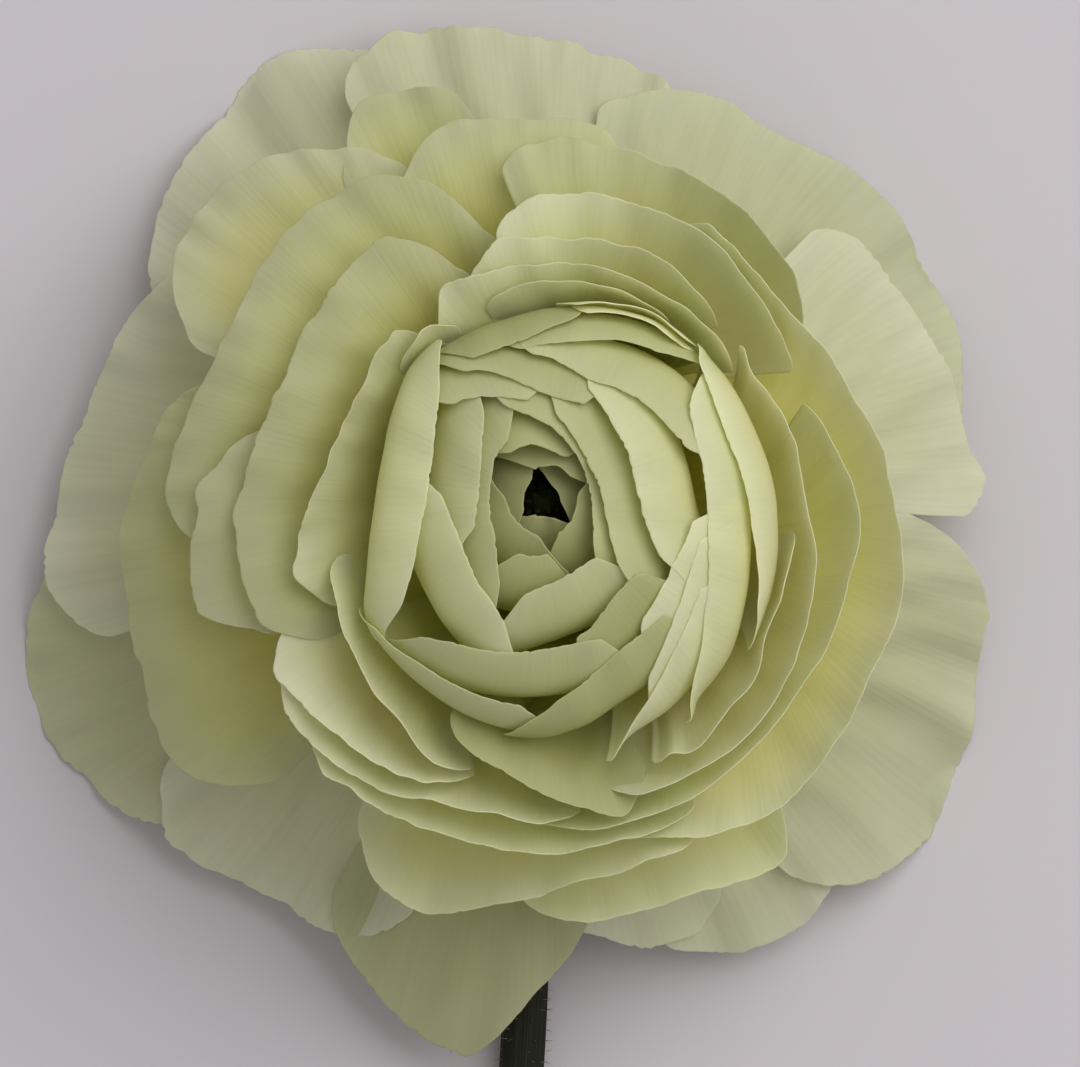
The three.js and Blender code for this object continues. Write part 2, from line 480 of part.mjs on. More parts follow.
// A round stalk along its route, with a swollen tip that carries the bloom
function stem() {
  const section = new THREE.Shape();
  section.absarc(0, 0, STEM_RADIUS, 0, 2 * Math.PI);
  const route = new THREE.CatmullRomCurve3(STEM_ROUTE.map((point) => new THREE.Vector3(...point)));
  const stalk = new THREE.ExtrudeGeometry(section, {
    extrudePath: route,
    steps: STEM_STEPS,
    curveSegments: STEM_SIDES / 2,
    bevelEnabled: false,
  });
  const tip = [[0, TIP_BOTTOM], [STEM_RADIUS, TIP_BOTTOM], [TIP_RADIUS, TIP_TOP], [0, TIP_TOP]];
  return join([solidOf(stalk), solidOf(lathe(tip, SLICE_SIDES))]);
}

function coreRadius(height) {
  const i = CARPEL_CORE.findIndex((point) => point[1] > height);
  const [[below, bottom], [above, top]] = [CARPEL_CORE[i - 1], CARPEL_CORE[i]];
  return lerp(below, above, (height - bottom) / (top - bottom));
}

// A core with small pointed carpels set round it in a spiral
function carpels() {
  const solids = [solidOf(lathe(CARPEL_CORE, CORE_SIDES))];
  for (let i = 0; i < CARPEL_COUNT; i += 1) {
    const share = i / (CARPEL_COUNT - 1);
    const turn = GOLDEN_ANGLE * i;
    const height = mix(CARPEL_HEIGHTS, share);
    const radius = coreRadius(height) - CARPEL_SINK;
    const outward = new THREE.Vector3(cosd(turn), sind(turn), mix(CARPEL_RISES, share)).normalize();
    const cone = new THREE.ConeGeometry(CARPEL_RADIUS, CARPEL_LENGTH, CARPEL_SIDES);
    cone.translate(0, CARPEL_SHIFT, 0);
    cone.applyQuaternion(new THREE.Quaternion().setFromUnitVectors(new THREE.Vector3(0, 1, 0), outward));
    cone.translate(radius * cosd(turn), radius * sind(turn), height);
    solids.push(solidOf(cone));
  }
  return join(solids);
}

const flower = new THREE.Group();
flower.add(meshOf('stem', stem(), 0x2c3318, 0.6));
flower.add(meshOf('sepals', sepals(), 0x8d9a58, 0.6));
flower.add(meshOf('guard_petals', whorlOf(GUARD_WHORL, GUARDS, GUARD_SLICE, GUARD_CELLS), 0xa9ab8c, 0.55));
flower.add(meshOf('cup_petals', whorlOf(CUP_WHORL, CUPS, CUP_SLICE, CUP_CELLS), 0xb4ba92, 0.55));
flower.add(meshOf('heart_petals', whorlOf(HEART_WHORL, HEARTS, HEART_SLICE, HEART_CELLS), 0xb9c193, 0.55));
flower.add(meshOf('carpels', carpels(), 0x23300f, 0.7));

// The origin is under the middle of the whole flower, on the surface that it lies on.
const box = new THREE.Box3().setFromObject(flower);
const centre = box.getCenter(new THREE.Vector3());
flower.position.set(-centre.x, -centre.y, -box.min.z);

export default flower;
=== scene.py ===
# %% [markdown]
# # A cut ranunculus, laid with its face up
#
# A ranunculus is a ball of nearly seventy thin petals in a spiral, on a hairy green stalk. This lesson
# dresses a plain faceted model of one: every petal is made again as a thin sheet with a notched, waved rim,
# the stalk gets ribs, hairs and a cut end, and the sepals and the seed head get finer forms. The plain model
# gives the flower's place and size, and its petals follow the same rims. Blender measures in metres, and
# this flower is built in millimetres round the axis of its bloom, so one helper moves finished points to
# their place.

import bpy
import numpy as np
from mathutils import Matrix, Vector


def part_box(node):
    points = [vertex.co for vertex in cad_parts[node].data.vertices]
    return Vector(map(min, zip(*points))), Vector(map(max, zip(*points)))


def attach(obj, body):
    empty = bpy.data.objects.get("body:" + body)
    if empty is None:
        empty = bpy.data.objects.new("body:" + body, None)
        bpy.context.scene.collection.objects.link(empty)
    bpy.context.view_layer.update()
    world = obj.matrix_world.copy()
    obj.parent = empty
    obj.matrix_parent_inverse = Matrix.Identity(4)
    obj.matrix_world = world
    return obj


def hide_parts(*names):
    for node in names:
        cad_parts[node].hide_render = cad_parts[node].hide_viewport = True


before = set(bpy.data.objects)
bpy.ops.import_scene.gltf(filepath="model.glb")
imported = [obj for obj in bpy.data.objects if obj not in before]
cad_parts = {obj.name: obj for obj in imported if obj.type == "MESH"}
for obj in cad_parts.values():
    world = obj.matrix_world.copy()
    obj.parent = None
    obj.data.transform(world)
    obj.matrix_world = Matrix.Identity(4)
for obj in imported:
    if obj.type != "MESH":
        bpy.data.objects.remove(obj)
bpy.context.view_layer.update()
TIP_RADIUS = 4.2  # millimetres, the widest part of the stalk, right under the bloom
stem_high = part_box("stem")[1]
AXIS = np.array([stem_high.x * 1000 - TIP_RADIUS, stem_high.y * 1000 - TIP_RADIUS, 0.0])


def to_frame(points):
    """Millimetres round the bloom's axis to metres in the frame: the axis is added, and the sum is scaled."""
    return (np.asarray(points, float) + AXIS) * 0.001


def object_of(name, data):
    """A new object that shows its data, linked to the scene."""
    made = bpy.data.objects.new(name, data)
    bpy.context.scene.collection.objects.link(made)
    return made


def finish_of(name, sockets):
    """A new material and its Principled shader, with constant values set on the shader's own sockets."""
    material = bpy.data.materials.new(name)
    material.use_nodes = True
    shader = material.node_tree.nodes["Principled BSDF"]
    for key, value in sockets.items():
        shader.inputs[key].default_value = value
    return material, material.node_tree, shader


# %% [markdown]
# ## Camera
#
# The photograph looks the bloom in the face. The flower lies on its back here, so the camera looks straight
# down. A long lens far away keeps the rims of low and high petals in step, as they are in the photograph.
# The picture is 102.6 mm wide at the height of the middle petals, and its centre is a little below the
# bloom's.

# %% The camera
PICTURE_WIDTH = 102.6  # millimetres at the height below
SHARP_HEIGHT = 15.0
PICTURE_CENTRE = (-0.475, -3.18)
CAMERA_HEIGHT = 2000.0
SENSOR = 36.0

camera_data = bpy.data.cameras.new("camera")
camera_data.sensor_width = SENSOR
camera_data.lens = SENSOR * (CAMERA_HEIGHT - SHARP_HEIGHT) / PICTURE_WIDTH
camera_data.clip_start = 0.1
camera_data.clip_end = 20.0
camera = object_of("camera", camera_data)
camera.location = to_frame((*PICTURE_CENTRE, CAMERA_HEIGHT))
bpy.context.scene.camera = camera
print("lens", round(camera_data.lens, 1), "mm")

# %% [markdown]
# ## Light
#
# The photograph is taken in soft, even light with no hard shadow, brighter at the upper right. A soft box
# on that side models the petals, and a pale world fills what it leaves. A light that is close and wider
# than the flower is long gives soft edges and a slow fall of brightness across the ground.

# %% The lights
BLOOM_MIDDLE = 20  # millimetres above the ground, where the light looks
KEY_PLACE = (0.42, 0.42, 0.72)  # metres
KEY_SIDE = 0.9
KEY_POWER = 6.2
WORLD_LIGHT = 0.46
WORLD_TINT = (1.0, 0.985, 0.99, 1)


def soft_box(name, place, side, power):
    """A square area light at place, in metres, turned so that its face looks at the bloom."""
    data = bpy.data.lights.new(name, "AREA")
    data.size = side
    data.energy = power
    light = object_of(name, data)
    light.location = place
    toward = Vector(to_frame((0, 0, BLOOM_MIDDLE))) - Vector(place)
    light.rotation_euler = toward.to_track_quat("-Z", "Y").to_euler()


soft_box("key_light", KEY_PLACE, KEY_SIDE, KEY_POWER)

world = bpy.data.worlds.new("studio")
world.use_nodes = True
world.node_tree.nodes["Background"].inputs["Color"].default_value = WORLD_TINT
world.node_tree.nodes["Background"].inputs["Strength"].default_value = WORLD_LIGHT
bpy.context.scene.world = world
bpy.context.scene.view_settings.view_transform = "Standard"

# %% [markdown]
# ## Floor
#
# The photograph's ground is a plain pale grey with a breath of lilac. A flat sheet of card does for it. It
# is much larger than the picture, so that no edge shows from any side.

# %% The floor
FLOOR_SIDE = 4.0  # metres
FLOOR_LOOK = {"Base Color": (0.60, 0.565, 0.595, 1), "Roughness": 0.9}

floor_mesh = bpy.data.meshes.new("floor")
half = FLOOR_SIDE / 2
corners = [(-half, -half, 0), (half, -half, 0), (half, half, 0), (-half, half, 0)]
floor_mesh.from_pydata(corners, [], [(0, 1, 2, 3)])
floor = object_of("floor", floor_mesh)
floor_mesh.materials.append(finish_of("card", FLOOR_LOOK)[0])
print("floor", FLOOR_SIDE, "m")

# %% [markdown]
# ## Sheets of petal
#
# A petal is about a third of a millimetre thick and thins out to its rim. It is made from its middle
# surface, a grid of points. Each grid point is moved half the thickness to either side, and a rounded lip
# joins both faces round the edge, so the sheet is closed and has a real rim that catches the light.

# %% Grids, sheets and pieces
SEED = 4127


def chance(*key):
    """A seeded source of random numbers for each key, so that one petal's draw moves no other's."""
    return np.random.default_rng([SEED, *key])


def unit(vectors):
    """Vectors of length 1 with the same directions."""
    return vectors / np.linalg.norm(vectors, axis=-1, keepdims=True)


def travelled(points):
    """How far each point lies from the first one along its line: the sum of the steps up to it."""
    steps = np.linalg.norm(np.diff(points, axis=0), axis=-1)
    return np.concatenate([np.zeros_like(steps[:1]), np.cumsum(steps, 0)])


def normals_of(grid):
    """Unit normals of a grid of points: the cross product of its sideways and its upward direction."""
    return unit(np.cross(np.gradient(grid, axis=1), np.gradient(grid, axis=0)))


def grid_edge(rows, columns):
    """Numbers of the grid points round the border, in order, starting along the root."""
    number = np.arange(rows * columns).reshape(rows, columns)
    return np.concatenate([number[0, :-1], number[:-1, -1], number[-1, :0:-1], number[:0:-1, 0]])


def closed_sheet(middle, thickness):
    """A closed sheet round a grid: points, faces, and the grid point that each point comes from.

    Front and back are the middle plus and minus half the thickness along the normal. The lip's points lie
    half the thickness beyond the border, away from the next grid point inward."""
    rows, columns = middle.shape[:2]
    count = rows * columns
    flat = middle.reshape(-1, 3)
    offset = (normals_of(middle) * thickness[..., None] / 2).reshape(-1, 3)
    edge = grid_edge(rows, columns)
    inner = np.clip(edge // columns, 1, rows - 2) * columns + np.clip(edge % columns, 1, columns - 2)
    lip = flat[edge] + unit(flat[edge] - flat[inner]) * thickness.reshape(-1, 1)[edge] / 2
    a = np.arange(count).reshape(rows, columns)[:-1, :-1].ravel()
    b, c, d = a + 1, a + columns + 1, a + columns
    front = np.stack([a, b, c, d], 1)
    back = np.stack([a, d, c, b], 1) + count
    here, there = edge, np.roll(edge, -1)
    lip_here = 2 * count + np.arange(len(edge))
    lip_there = np.roll(lip_here, -1)
    upper = np.stack([here, lip_here, lip_there, there], 1)
    lower = np.stack([lip_here, here + count, there + count, lip_there], 1)
    source = np.concatenate([np.arange(count), np.arange(count), edge])
    points = np.concatenate([flat + offset, flat - offset, lip])
    return points, np.concatenate([front, back, upper, lower]), source


def piece_of(name, points, faces, material, nodes, values=None, place=None):
    """A smooth mesh piece from points in millimetres. values are numbers for each point, and place its UV."""
    mesh = bpy.data.meshes.new(name)
    faces = faces.tolist() if isinstance(faces, np.ndarray) else faces
    mesh.from_pydata(to_frame(points).tolist(), [], faces)
    mesh.polygons.foreach_set("use_smooth", np.ones(len(mesh.polygons), bool))
    for key, numbers in (values or {}).items():
        mesh.attributes.new(key, "FLOAT", "POINT").data.foreach_set("value", np.asarray(numbers, np.float32))
    if place is not None:
        corner = np.empty(len(mesh.loops), np.int32)
        mesh.loops.foreach_get("vertex_index", corner)
        mesh.uv_layers.new(name="along").data.foreach_set("uv", place[corner].astype(np.float32).ravel())
    mesh.materials.append(material)
    piece = object_of(name, mesh)
    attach(piece, "root")
    if nodes:
        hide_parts(*nodes)
    return piece


# %% [markdown]
# ## Finishes
#
# A petal is a thin, wet, translucent skin. Its green comes from below: deep in the cup it is yellow-green,
# the face is ivory, and the last millimetres of the rim are paler still. Fine veins run from root to rim
# and fork on the way. More light goes through the sheet than comes back, so a translucent share is mixed
# in, and the gaps between petals glow yellow where light has passed several of them. Scattering below the
# surface would do it too, but takes twice as long for so thin a sheet. Veins, pleats and a soft unevenness
# are used by more than one finish, so each is a node group that is built once.

# %% Node helpers


def add(tree, kind, inputs=None, **settings):
    """A new node. Each input, by name or number, is linked to a given socket or set to a given value."""
    node = tree.nodes.new(kind)
    for key, value in settings.items():
        setattr(node, key, value)
    for key, value in (inputs or {}).items():
        if isinstance(value, bpy.types.NodeSocket):
            tree.links.new(value, node.inputs[key])
        else:
            node.inputs[key].default_value = value
    return node


def math_of(tree, operation, first, second=0.0, third=0.0):
    """The output of a Math node that does the operation on two or three values or sockets."""
    return add(tree, "ShaderNodeMath", {0: first, 1: second, 2: third}, operation=operation).outputs[0]


def ranged(tree, value, from_low, from_high, to_low=0.0, to_high=1.0):
    """A socket's value carried smoothly from one range to another, and held at the ends."""
    inputs = {0: value, 1: from_low, 2: from_high, 3: to_low, 4: to_high}
    return add(tree, "ShaderNodeMapRange", inputs, interpolation_type="SMOOTHSTEP").outputs["Result"]


def mixed(tree, share, first, second, way="MIX"):
    """The colour between two colours or sockets at a share, by the given way of mixing."""
    inputs = {"Factor": share, 6: first, 7: second}  # inputs 6 and 7 are the two colours
    return add(tree, "ShaderNodeMix", inputs, data_type="RGBA", blend_type=way).outputs[2]


def tinted(tree, share, colour, tint):
    """The colour, carried by a share towards itself times a tint."""
    return mixed(tree, share, colour, mixed(tree, 1.0, colour, tint, "MULTIPLY"))


def group_of(name, inputs, outputs):
    """A node group with named inputs, each with its kind and value, and named outputs."""
    tree = bpy.data.node_groups.new(name, "ShaderNodeTree")
    for label, kind, value in inputs:
        tree.interface.new_socket(label, in_out="INPUT", socket_type=kind).default_value = value
    for label, kind in outputs:
        tree.interface.new_socket(label, in_out="OUTPUT", socket_type=kind)
    return tree, add(tree, "NodeGroupInput").outputs, add(tree, "NodeGroupOutput").inputs


# %% The shared effects
VEIN_STRETCH = 0.035  # how much slower the pattern changes along a vein than across it
VEIN_RANGE = (0.4, 0.65)  # of the noise that goes from bare skin to full vein
MOTTLE_RANGE = (0.3, 0.7)
PLEAT_WAVES = (2.0, 1.23)  # radians a spacing
PLEAT_DRIFT = 0.12  # how fast a fold wanders to the side, in radians a millimetre


def veins_group():
    """Streaks along the second direction of Place: a flat noise of two octaves, stretched along the veins."""
    tree, given, out = group_of(
        "veins",
        [("Place", "NodeSocketVector", (0, 0, 0)), ("Spacing", "NodeSocketFloat", 0.5)],
        [("Vein", "NodeSocketFloat"), ("Height", "NodeSocketFloat")],
    )
    part = add(tree, "ShaderNodeSeparateXYZ", {0: given["Place"]}).outputs
    across = math_of(tree, "DIVIDE", part["X"], given["Spacing"])
    along = math_of(tree, "MULTIPLY", math_of(tree, "DIVIDE", part["Y"], given["Spacing"]), VEIN_STRETCH)
    where = add(tree, "ShaderNodeCombineXYZ", {"X": across, "Y": along}).outputs[0]
    noise = add(tree, "ShaderNodeTexNoise", {"Vector": where, "Scale": 1.0, "Detail": 1.0},
                noise_dimensions="2D").outputs["Fac"]
    tree.links.new(ranged(tree, noise, *VEIN_RANGE), out["Vein"])
    tree.links.new(noise, out["Height"])
    return tree


def pleats_group():
    """Soft folds from root to rim: the product of two waves across the petal whose lengths have no common
    measure, so no two folds are alike, each shifted a little on the way up."""
    tree, given, out = group_of(
        "pleats",
        [("Place", "NodeSocketVector", (0, 0, 0)), ("Spacing", "NodeSocketFloat", 3.0)],
        [("Height", "NodeSocketFloat")],
    )
    part = add(tree, "ShaderNodeSeparateXYZ", {0: given["Place"]}).outputs
    drift = math_of(tree, "SINE", math_of(tree, "MULTIPLY", part["Y"], PLEAT_DRIFT))
    across = math_of(tree, "ADD", math_of(tree, "DIVIDE", part["X"], given["Spacing"]), drift)
    first, second = (math_of(tree, "SINE", math_of(tree, "MULTIPLY", across, wave)) for wave in PLEAT_WAVES)
    tree.links.new(math_of(tree, "MULTIPLY", first, second), out["Height"])
    return tree


def mottle_group():
    """Soft unevenness of a given grain, in metres, as a noise in the piece's own space."""
    tree, given, out = group_of(
        "mottle",
        [("Grain", "NodeSocketFloat", 0.004)],
        [("Mask", "NodeSocketFloat")],
    )
    place = add(tree, "ShaderNodeTexCoord").outputs["Object"]
    scale = math_of(tree, "DIVIDE", 1.0, given["Grain"])
    noise = add(tree, "ShaderNodeTexNoise", {"Vector": place, "Scale": scale, "Detail": 0.6}).outputs["Fac"]
    tree.links.new(ranged(tree, noise, *MOTTLE_RANGE), out["Mask"])
    return tree


VEINS = veins_group()
PLEATS = pleats_group()
MOTTLE = mottle_group()


def effect(tree, group, inputs):
    """A node group placed in a material, with its inputs linked or set."""
    return add(tree, "ShaderNodeGroup", inputs, node_tree=group).outputs


def value_of(tree, name):
    """The socket of one of the piece's own numbers."""
    return add(tree, "ShaderNodeAttribute", attribute_name=name).outputs["Fac"]


# %% The petal finishes
# Each: colour deep in the cup, on the face and at the rim, vein spacing in millimetres, vein depth, and how
# high the pleats stand, in metres.
PETAL_LOOKS = {
    "guard": ((0.84, 0.82, 0.56, 1), (0.85, 0.845, 0.70, 1), (0.87, 0.87, 0.75, 1), 0.6, 0.09, 0.0008),
    "cup": ((0.96, 0.92, 0.36, 1), (0.89, 0.88, 0.69, 1), (0.92, 0.92, 0.78, 1), 0.5, 0.06, 0.0003),
    "heart": ((0.98, 0.94, 0.36, 1), (0.94, 0.93, 0.69, 1), (0.97, 0.965, 0.82, 1), 0.45, 0.04, 0.0002),
}
PETAL_SHADER = {"Roughness": 0.5, "Specular IOR Level": 0.35}
VEIN_HEIGHT = 0.00007  # in metres
CLEAR_SHARE = 0.5  # of the light that goes on through the skin
CLEAR_TINT = (1.03, 1.03, 0.90, 1)
TONE_TINT = (0.95, 0.965, 0.9, 1)  # petals differ a little, by their own tone
MASK_SHARE, MASK_TINT = 0.25, (0.9, 0.93, 0.8, 1)
VEIN_TINT = (0.72, 0.76, 0.6, 1)
PLEAT_VEINS = 6  # how many vein spacings one pleat is wide
MASK_GRAIN = 0.007  # metres
FACE_RISE = (0.35, 0.95)  # where up the petal the deep colour gives way to the face's
INNER_EDGE, INNER_SHARE = (0.1, 0.9), 0.3  # where in from the edge a share of the deep colour comes back
RIM_EDGE, RIM_SHARE = (0.0, 0.25), 0.4
# Painted shade: a darker, yellower tint for petals that lie in shade, also used for the young petals deep in
# the heart.
YOUTH_AND_PAINTED_SHADE_TINT = (0.73, 0.735, 0.52, 1)


def petal_material(whorl, deep, face, rim, spacing, depth, pleats):
    """The finish of a whorl's petals: root, face and rim colours, veins, unevenness, pleats, and light that
    goes on through the skin."""
    material, tree, shader = finish_of(whorl + "_petal_skin", PETAL_SHADER)
    rise, edge, tone, youth_and_painted_shade = (value_of(tree, name) for name in ("rise", "edge", "tone", "youth_and_painted_shade"))
    mask = effect(tree, MOTTLE, {"Grain": MASK_GRAIN})["Mask"]
    place = add(tree, "ShaderNodeUVMap", uv_map="along").outputs[0]
    vein = effect(tree, VEINS, {"Place": place, "Spacing": spacing})
    colour = mixed(tree, ranged(tree, rise, *FACE_RISE), deep, face)
    colour = mixed(tree, ranged(tree, edge, *INNER_EDGE, 0.0, INNER_SHARE), colour, deep)
    colour = mixed(tree, ranged(tree, edge, *RIM_EDGE, RIM_SHARE, 0.0), colour, rim)
    colour = tinted(tree, ranged(tree, tone, -1.0, 1.0), colour, TONE_TINT)
    colour = tinted(tree, math_of(tree, "MULTIPLY", mask, MASK_SHARE), colour, MASK_TINT)
    # Painted shade: petals that lie in shade, and the young ones deep in the heart, are darkened by this
    # tint.
    colour = tinted(tree, youth_and_painted_shade, colour, YOUTH_AND_PAINTED_SHADE_TINT)
    colour = tinted(tree, math_of(tree, "MULTIPLY", vein["Vein"], depth), colour, VEIN_TINT)
    tree.links.new(colour, shader.inputs["Base Color"])
    pleat = effect(tree, PLEATS, {"Place": place, "Spacing": PLEAT_VEINS * spacing})["Height"]
    height = math_of(tree, "MULTIPLY", vein["Height"], VEIN_HEIGHT)
    height = math_of(tree, "MULTIPLY_ADD", pleat, pleats, height)
    bump = add(tree, "ShaderNodeBump", {"Strength": 0.5, "Distance": 1.0, "Height": height})
    tree.links.new(bump.outputs[0], shader.inputs["Normal"])
    clear = mixed(tree, 1.0, colour, CLEAR_TINT, "MULTIPLY")
    through = add(tree, "ShaderNodeBsdfTranslucent", {"Color": clear, "Normal": bump.outputs[0]})
    both = add(tree, "ShaderNodeMixShader", {0: CLEAR_SHARE, 1: shader.outputs[0], 2: through.outputs[0]})
    tree.links.new(both.outputs[0], tree.nodes["Material Output"].inputs["Surface"])
    return material


PETAL_SKINS = {whorl: petal_material(whorl, *look) for whorl, look in PETAL_LOOKS.items()}
print("petal finishes:", list(PETAL_SKINS))

# %% [markdown]
# ## The form of the petals
#
# Seen along a slice through the axis, each petal is one smooth curve from its root on the receptacle to its
# rim. Curves with wider rims root lower and lean further out, so petals nest and never meet. What makes
# this bloom its own is where the rims run: each was read from the photograph, as a few points of
# angle and radius. The heart leans inward, the left side lies open, and the right side stands in a steep
# funnel.

# %% Numbers of the petal family
UPRIGHT_RADIUS, UPRIGHT_OFFSET, UPRIGHT_ANGLE = 21.6, 3, -50
OPEN_ANGLE, OPEN_SPREAD = 150, 0.85
TOP_HEIGHT, DOME_FALL, HOLE_RADIUS, HOLE_DIP = 45.6, 0.012, 8, 0.12
FUNNEL_FALL, OPEN_FALL = (0.22, 0.03), (0.4, 0.02)
OUTER_RADIUS, OUTER_FALL = 34, 0.45
INWARD_TURN, INWARD_OVER, INWARD_EASE = 70, 4, 1.3
OUTWARD_TURN, FUNNEL_OVER, OPEN_OVER, OUTER_TURN = 140, 64, 6.5, 3
GUARD_RIM_HEIGHT, GUARD_RIM_RADIUS, GUARD_FALL, GUARD_RIM_LEAN = 6, 44, 0.2, -26
STEM_RAISE, STEM_ANGLE, STEM_SPREAD = 3.5, 266, 24
ROOT_PULL, RIM_PULL, INWARD_PULL, PULL_OVER = 0.42, 0.36, 0.7, 5.5

# rims: rim radii from the innermost to the outermost petal; root: radius and height there; lean: degrees.
# sheet: thickness at the root and at the rim. wave, notch, scallop, curl: how deep, over how many mm.
# rows: how many points from root to rim.
# round and pointed: where up the petal it is widest, its root width as a share, how far the rim runs on past
# its last point, and how wide and how high its rounded corner is. points: the numbers of the pointed petals.
# tilt: degrees by which single petals lean further out than the family, or further in if it is below 0.
# The last entry is painted shade on single petals, from 0 to 1: a darker, yellower tint on those that lie in
# shade.
GUARD_WHORL = {
    "name": "guard", "rims": (40, 54), "root": ((7.0, 17.3), (7.9, 16.0)), "lean": (9, 0),
    "sheet": (0.36, 0.1), "wave": (1.1, 15.0), "notch": (0.45, 1.7), "rows": 40,
    "scallop": (0.7, 7.0), "curl": (0.3, 5.0),
    "round": (0.7, 0.75, 0.4, 3.0, 3.5), "pointed": (0.9, 0.7, 0.2, 1.0, 1.2), "points": {1, 11},
    "tilt": {}, "youth_and_painted_shade": {1: 0.2, 2: 0.2, 5: 0.3, 7: 0.7, 10: 0.2},
}
CUP_WHORL = {
    "name": "cup", "rims": (17, 44), "root": ((5.3, 21.6), (6.9, 18.6)), "lean": (50, 20),
    "sheet": (0.34, 0.09), "wave": (0.35, 12.0), "notch": (0.28, 1.5), "rows": 36,
    "scallop": (0.7, 6.0), "curl": (0.25, 4.0),
    "round": (0.7, 0.5, 2.0, 6.0, 7.0), "pointed": (1.1, 0.5, 0.5, 1.4, 2.2),
    "points": {9, 10, 11, 12, 13, 14, 15, 16, 17, 18, 21, 22, 23, 24, 25},
    "tilt": {25: 40},
    "youth_and_painted_shade": {1: 0.2, 2: 0.4, 3: 0.8, 4: 0.4, 5: 0.5, 6: 0.5, 7: 0.7, 8: 0.4, 10: 0.5, 25: 0.9},
}
HEART_WHORL = {
    "name": "heart", "rims": (0, 26), "root": ((2.0, 25.6), (4.6, 23.0)), "lean": (84, 46),
    "sheet": (0.3, 0.09), "wave": (0.15, 8.0), "notch": (0.14, 1.4), "rows": 32,
    "scallop": (0.35, 5.0), "curl": (0.08, 4.0),
    "round": (0.7, 0.5, 1.8, 5.0, 6.0), "pointed": (1.1, 0.45, 0.4, 1.0, 1.6), "points": set(range(1, 33)),
    "tilt": {1: -12}, "youth_and_painted_shade": {4: 1.0, 5: 0.7, 10: 0.9, 11: 0.5, 12: 0.6, 13: 0.5, 16: 1.0, 17: 0.8, 20: 0.7},
}

# %% [markdown]
# ## The rims
#
# Each rim is a list of points: angle in degrees, anticlockwise from the right, radius in millimetres, then,
# only where a corner is rounded off, how far up its curve the rim reaches, and how far it is lifted. A
# guard petal starts with its tier, 0 for one that roots high and 1 for one that roots low.

# %% The rims
GUARDS = [
    (0.5, [(6, 40.6, 0.9, -2.4), (13, 41.1, 1, -3.2), (20, 42.2, 1, -4.6), (32, 43.1, 1, -6),
           (46, 43.3, 1, -6), (58, 41.6, 1, -3), (66, 42.1, 1, -1), (74, 41, 1, 0.3),
           (82, 40.5, 0.93, 1)]),
    (1, [(70, 42.4, 0.95, -1.4), (80, 43, 1, -1.2), (90, 44.2, 1, -0.2), (101, 46.3, 1, 0.6),
         (108, 47.2, 1, 1), (116, 46.8, 0.95, 1.2)]),
    (0.6, [(107, 47.8, 0.97, -1.5), (113, 47.4, 1, -3), (119, 49.1, 1, -4.8), (126, 49.6, 1, -5.2),
         (130, 48.3, 1, -4), (136, 47.7, 1, -2.4), (144, 46.3, 1, -1.4), (154, 44.2, 0.93, -0.8)]),
    (0, [(147, 43.2, 0.95, 0.6), (157, 43.6, 1, 0.3), (166, 44.5), (178, 46.6), (190, 48.3, 1, 0.4),
         (197, 48.5, 0.93, 1.2)]),
    (1, [(185, 50.5, 0.9, -1.8), (195, 51.8, 1, -4.2), (200, 52.7, 1, -4.7), (209, 52.5, 1, -3.6),
         (215, 51, 1, -2.4), (222, 49.8, 0.93, -1.8)]),
    (0, [(215, 47.6, 0.95, 0.8), (223, 48.4, 1, -0.4), (233, 46.8, 1, -0.6), (244, 46.1, 1, 0.6),
         (252, 45.5, 0.93, 1.4)]),
    (1, [(242, 50.5, 0.85), (251, 52, 0.95), (258, 53.2), (262, 53.7), (269, 53, 0.86, 0.4),
         (276, 52, 0.74, 0.4)]),
    (0, [(268, 43.6, 0.88, 1), (276, 43.6, 0.94, 1), (283, 44, 1, 0.6), (289, 44), (295, 44, 0.93)]),
    (1, [(284, 46.6, 0.93, -1.6), (294, 47.4, 1, -1.8), (302, 47.5, 1, -1.8),
         (309, 46.9, 0.95, -1.4)]),
    (0, [(303, 46.6, 0.93, 0.8), (311, 48.1, 1, -1.6), (320, 48.9, 1, -5.2), (328, 46.9, 1, -5.6),
         (340, 44.5, 1, -2.2), (346, 43.8, 1, -0.4), (352, 42.6, 0.95, 0.6), (357.5, 42, 0.83, 1)]),
    (0, [(-2, 41.6, 0.97), (3, 42.4, 1, 0.2), (7, 41.2, 1, 0.6), (15, 40.6, 1, 1.2), (25, 39.7, 1, 1.6),
         (32, 39.3, 1, 1.8), (40, 38.9, 1, 2), (45, 38.4, 0.95, 2)]),
]

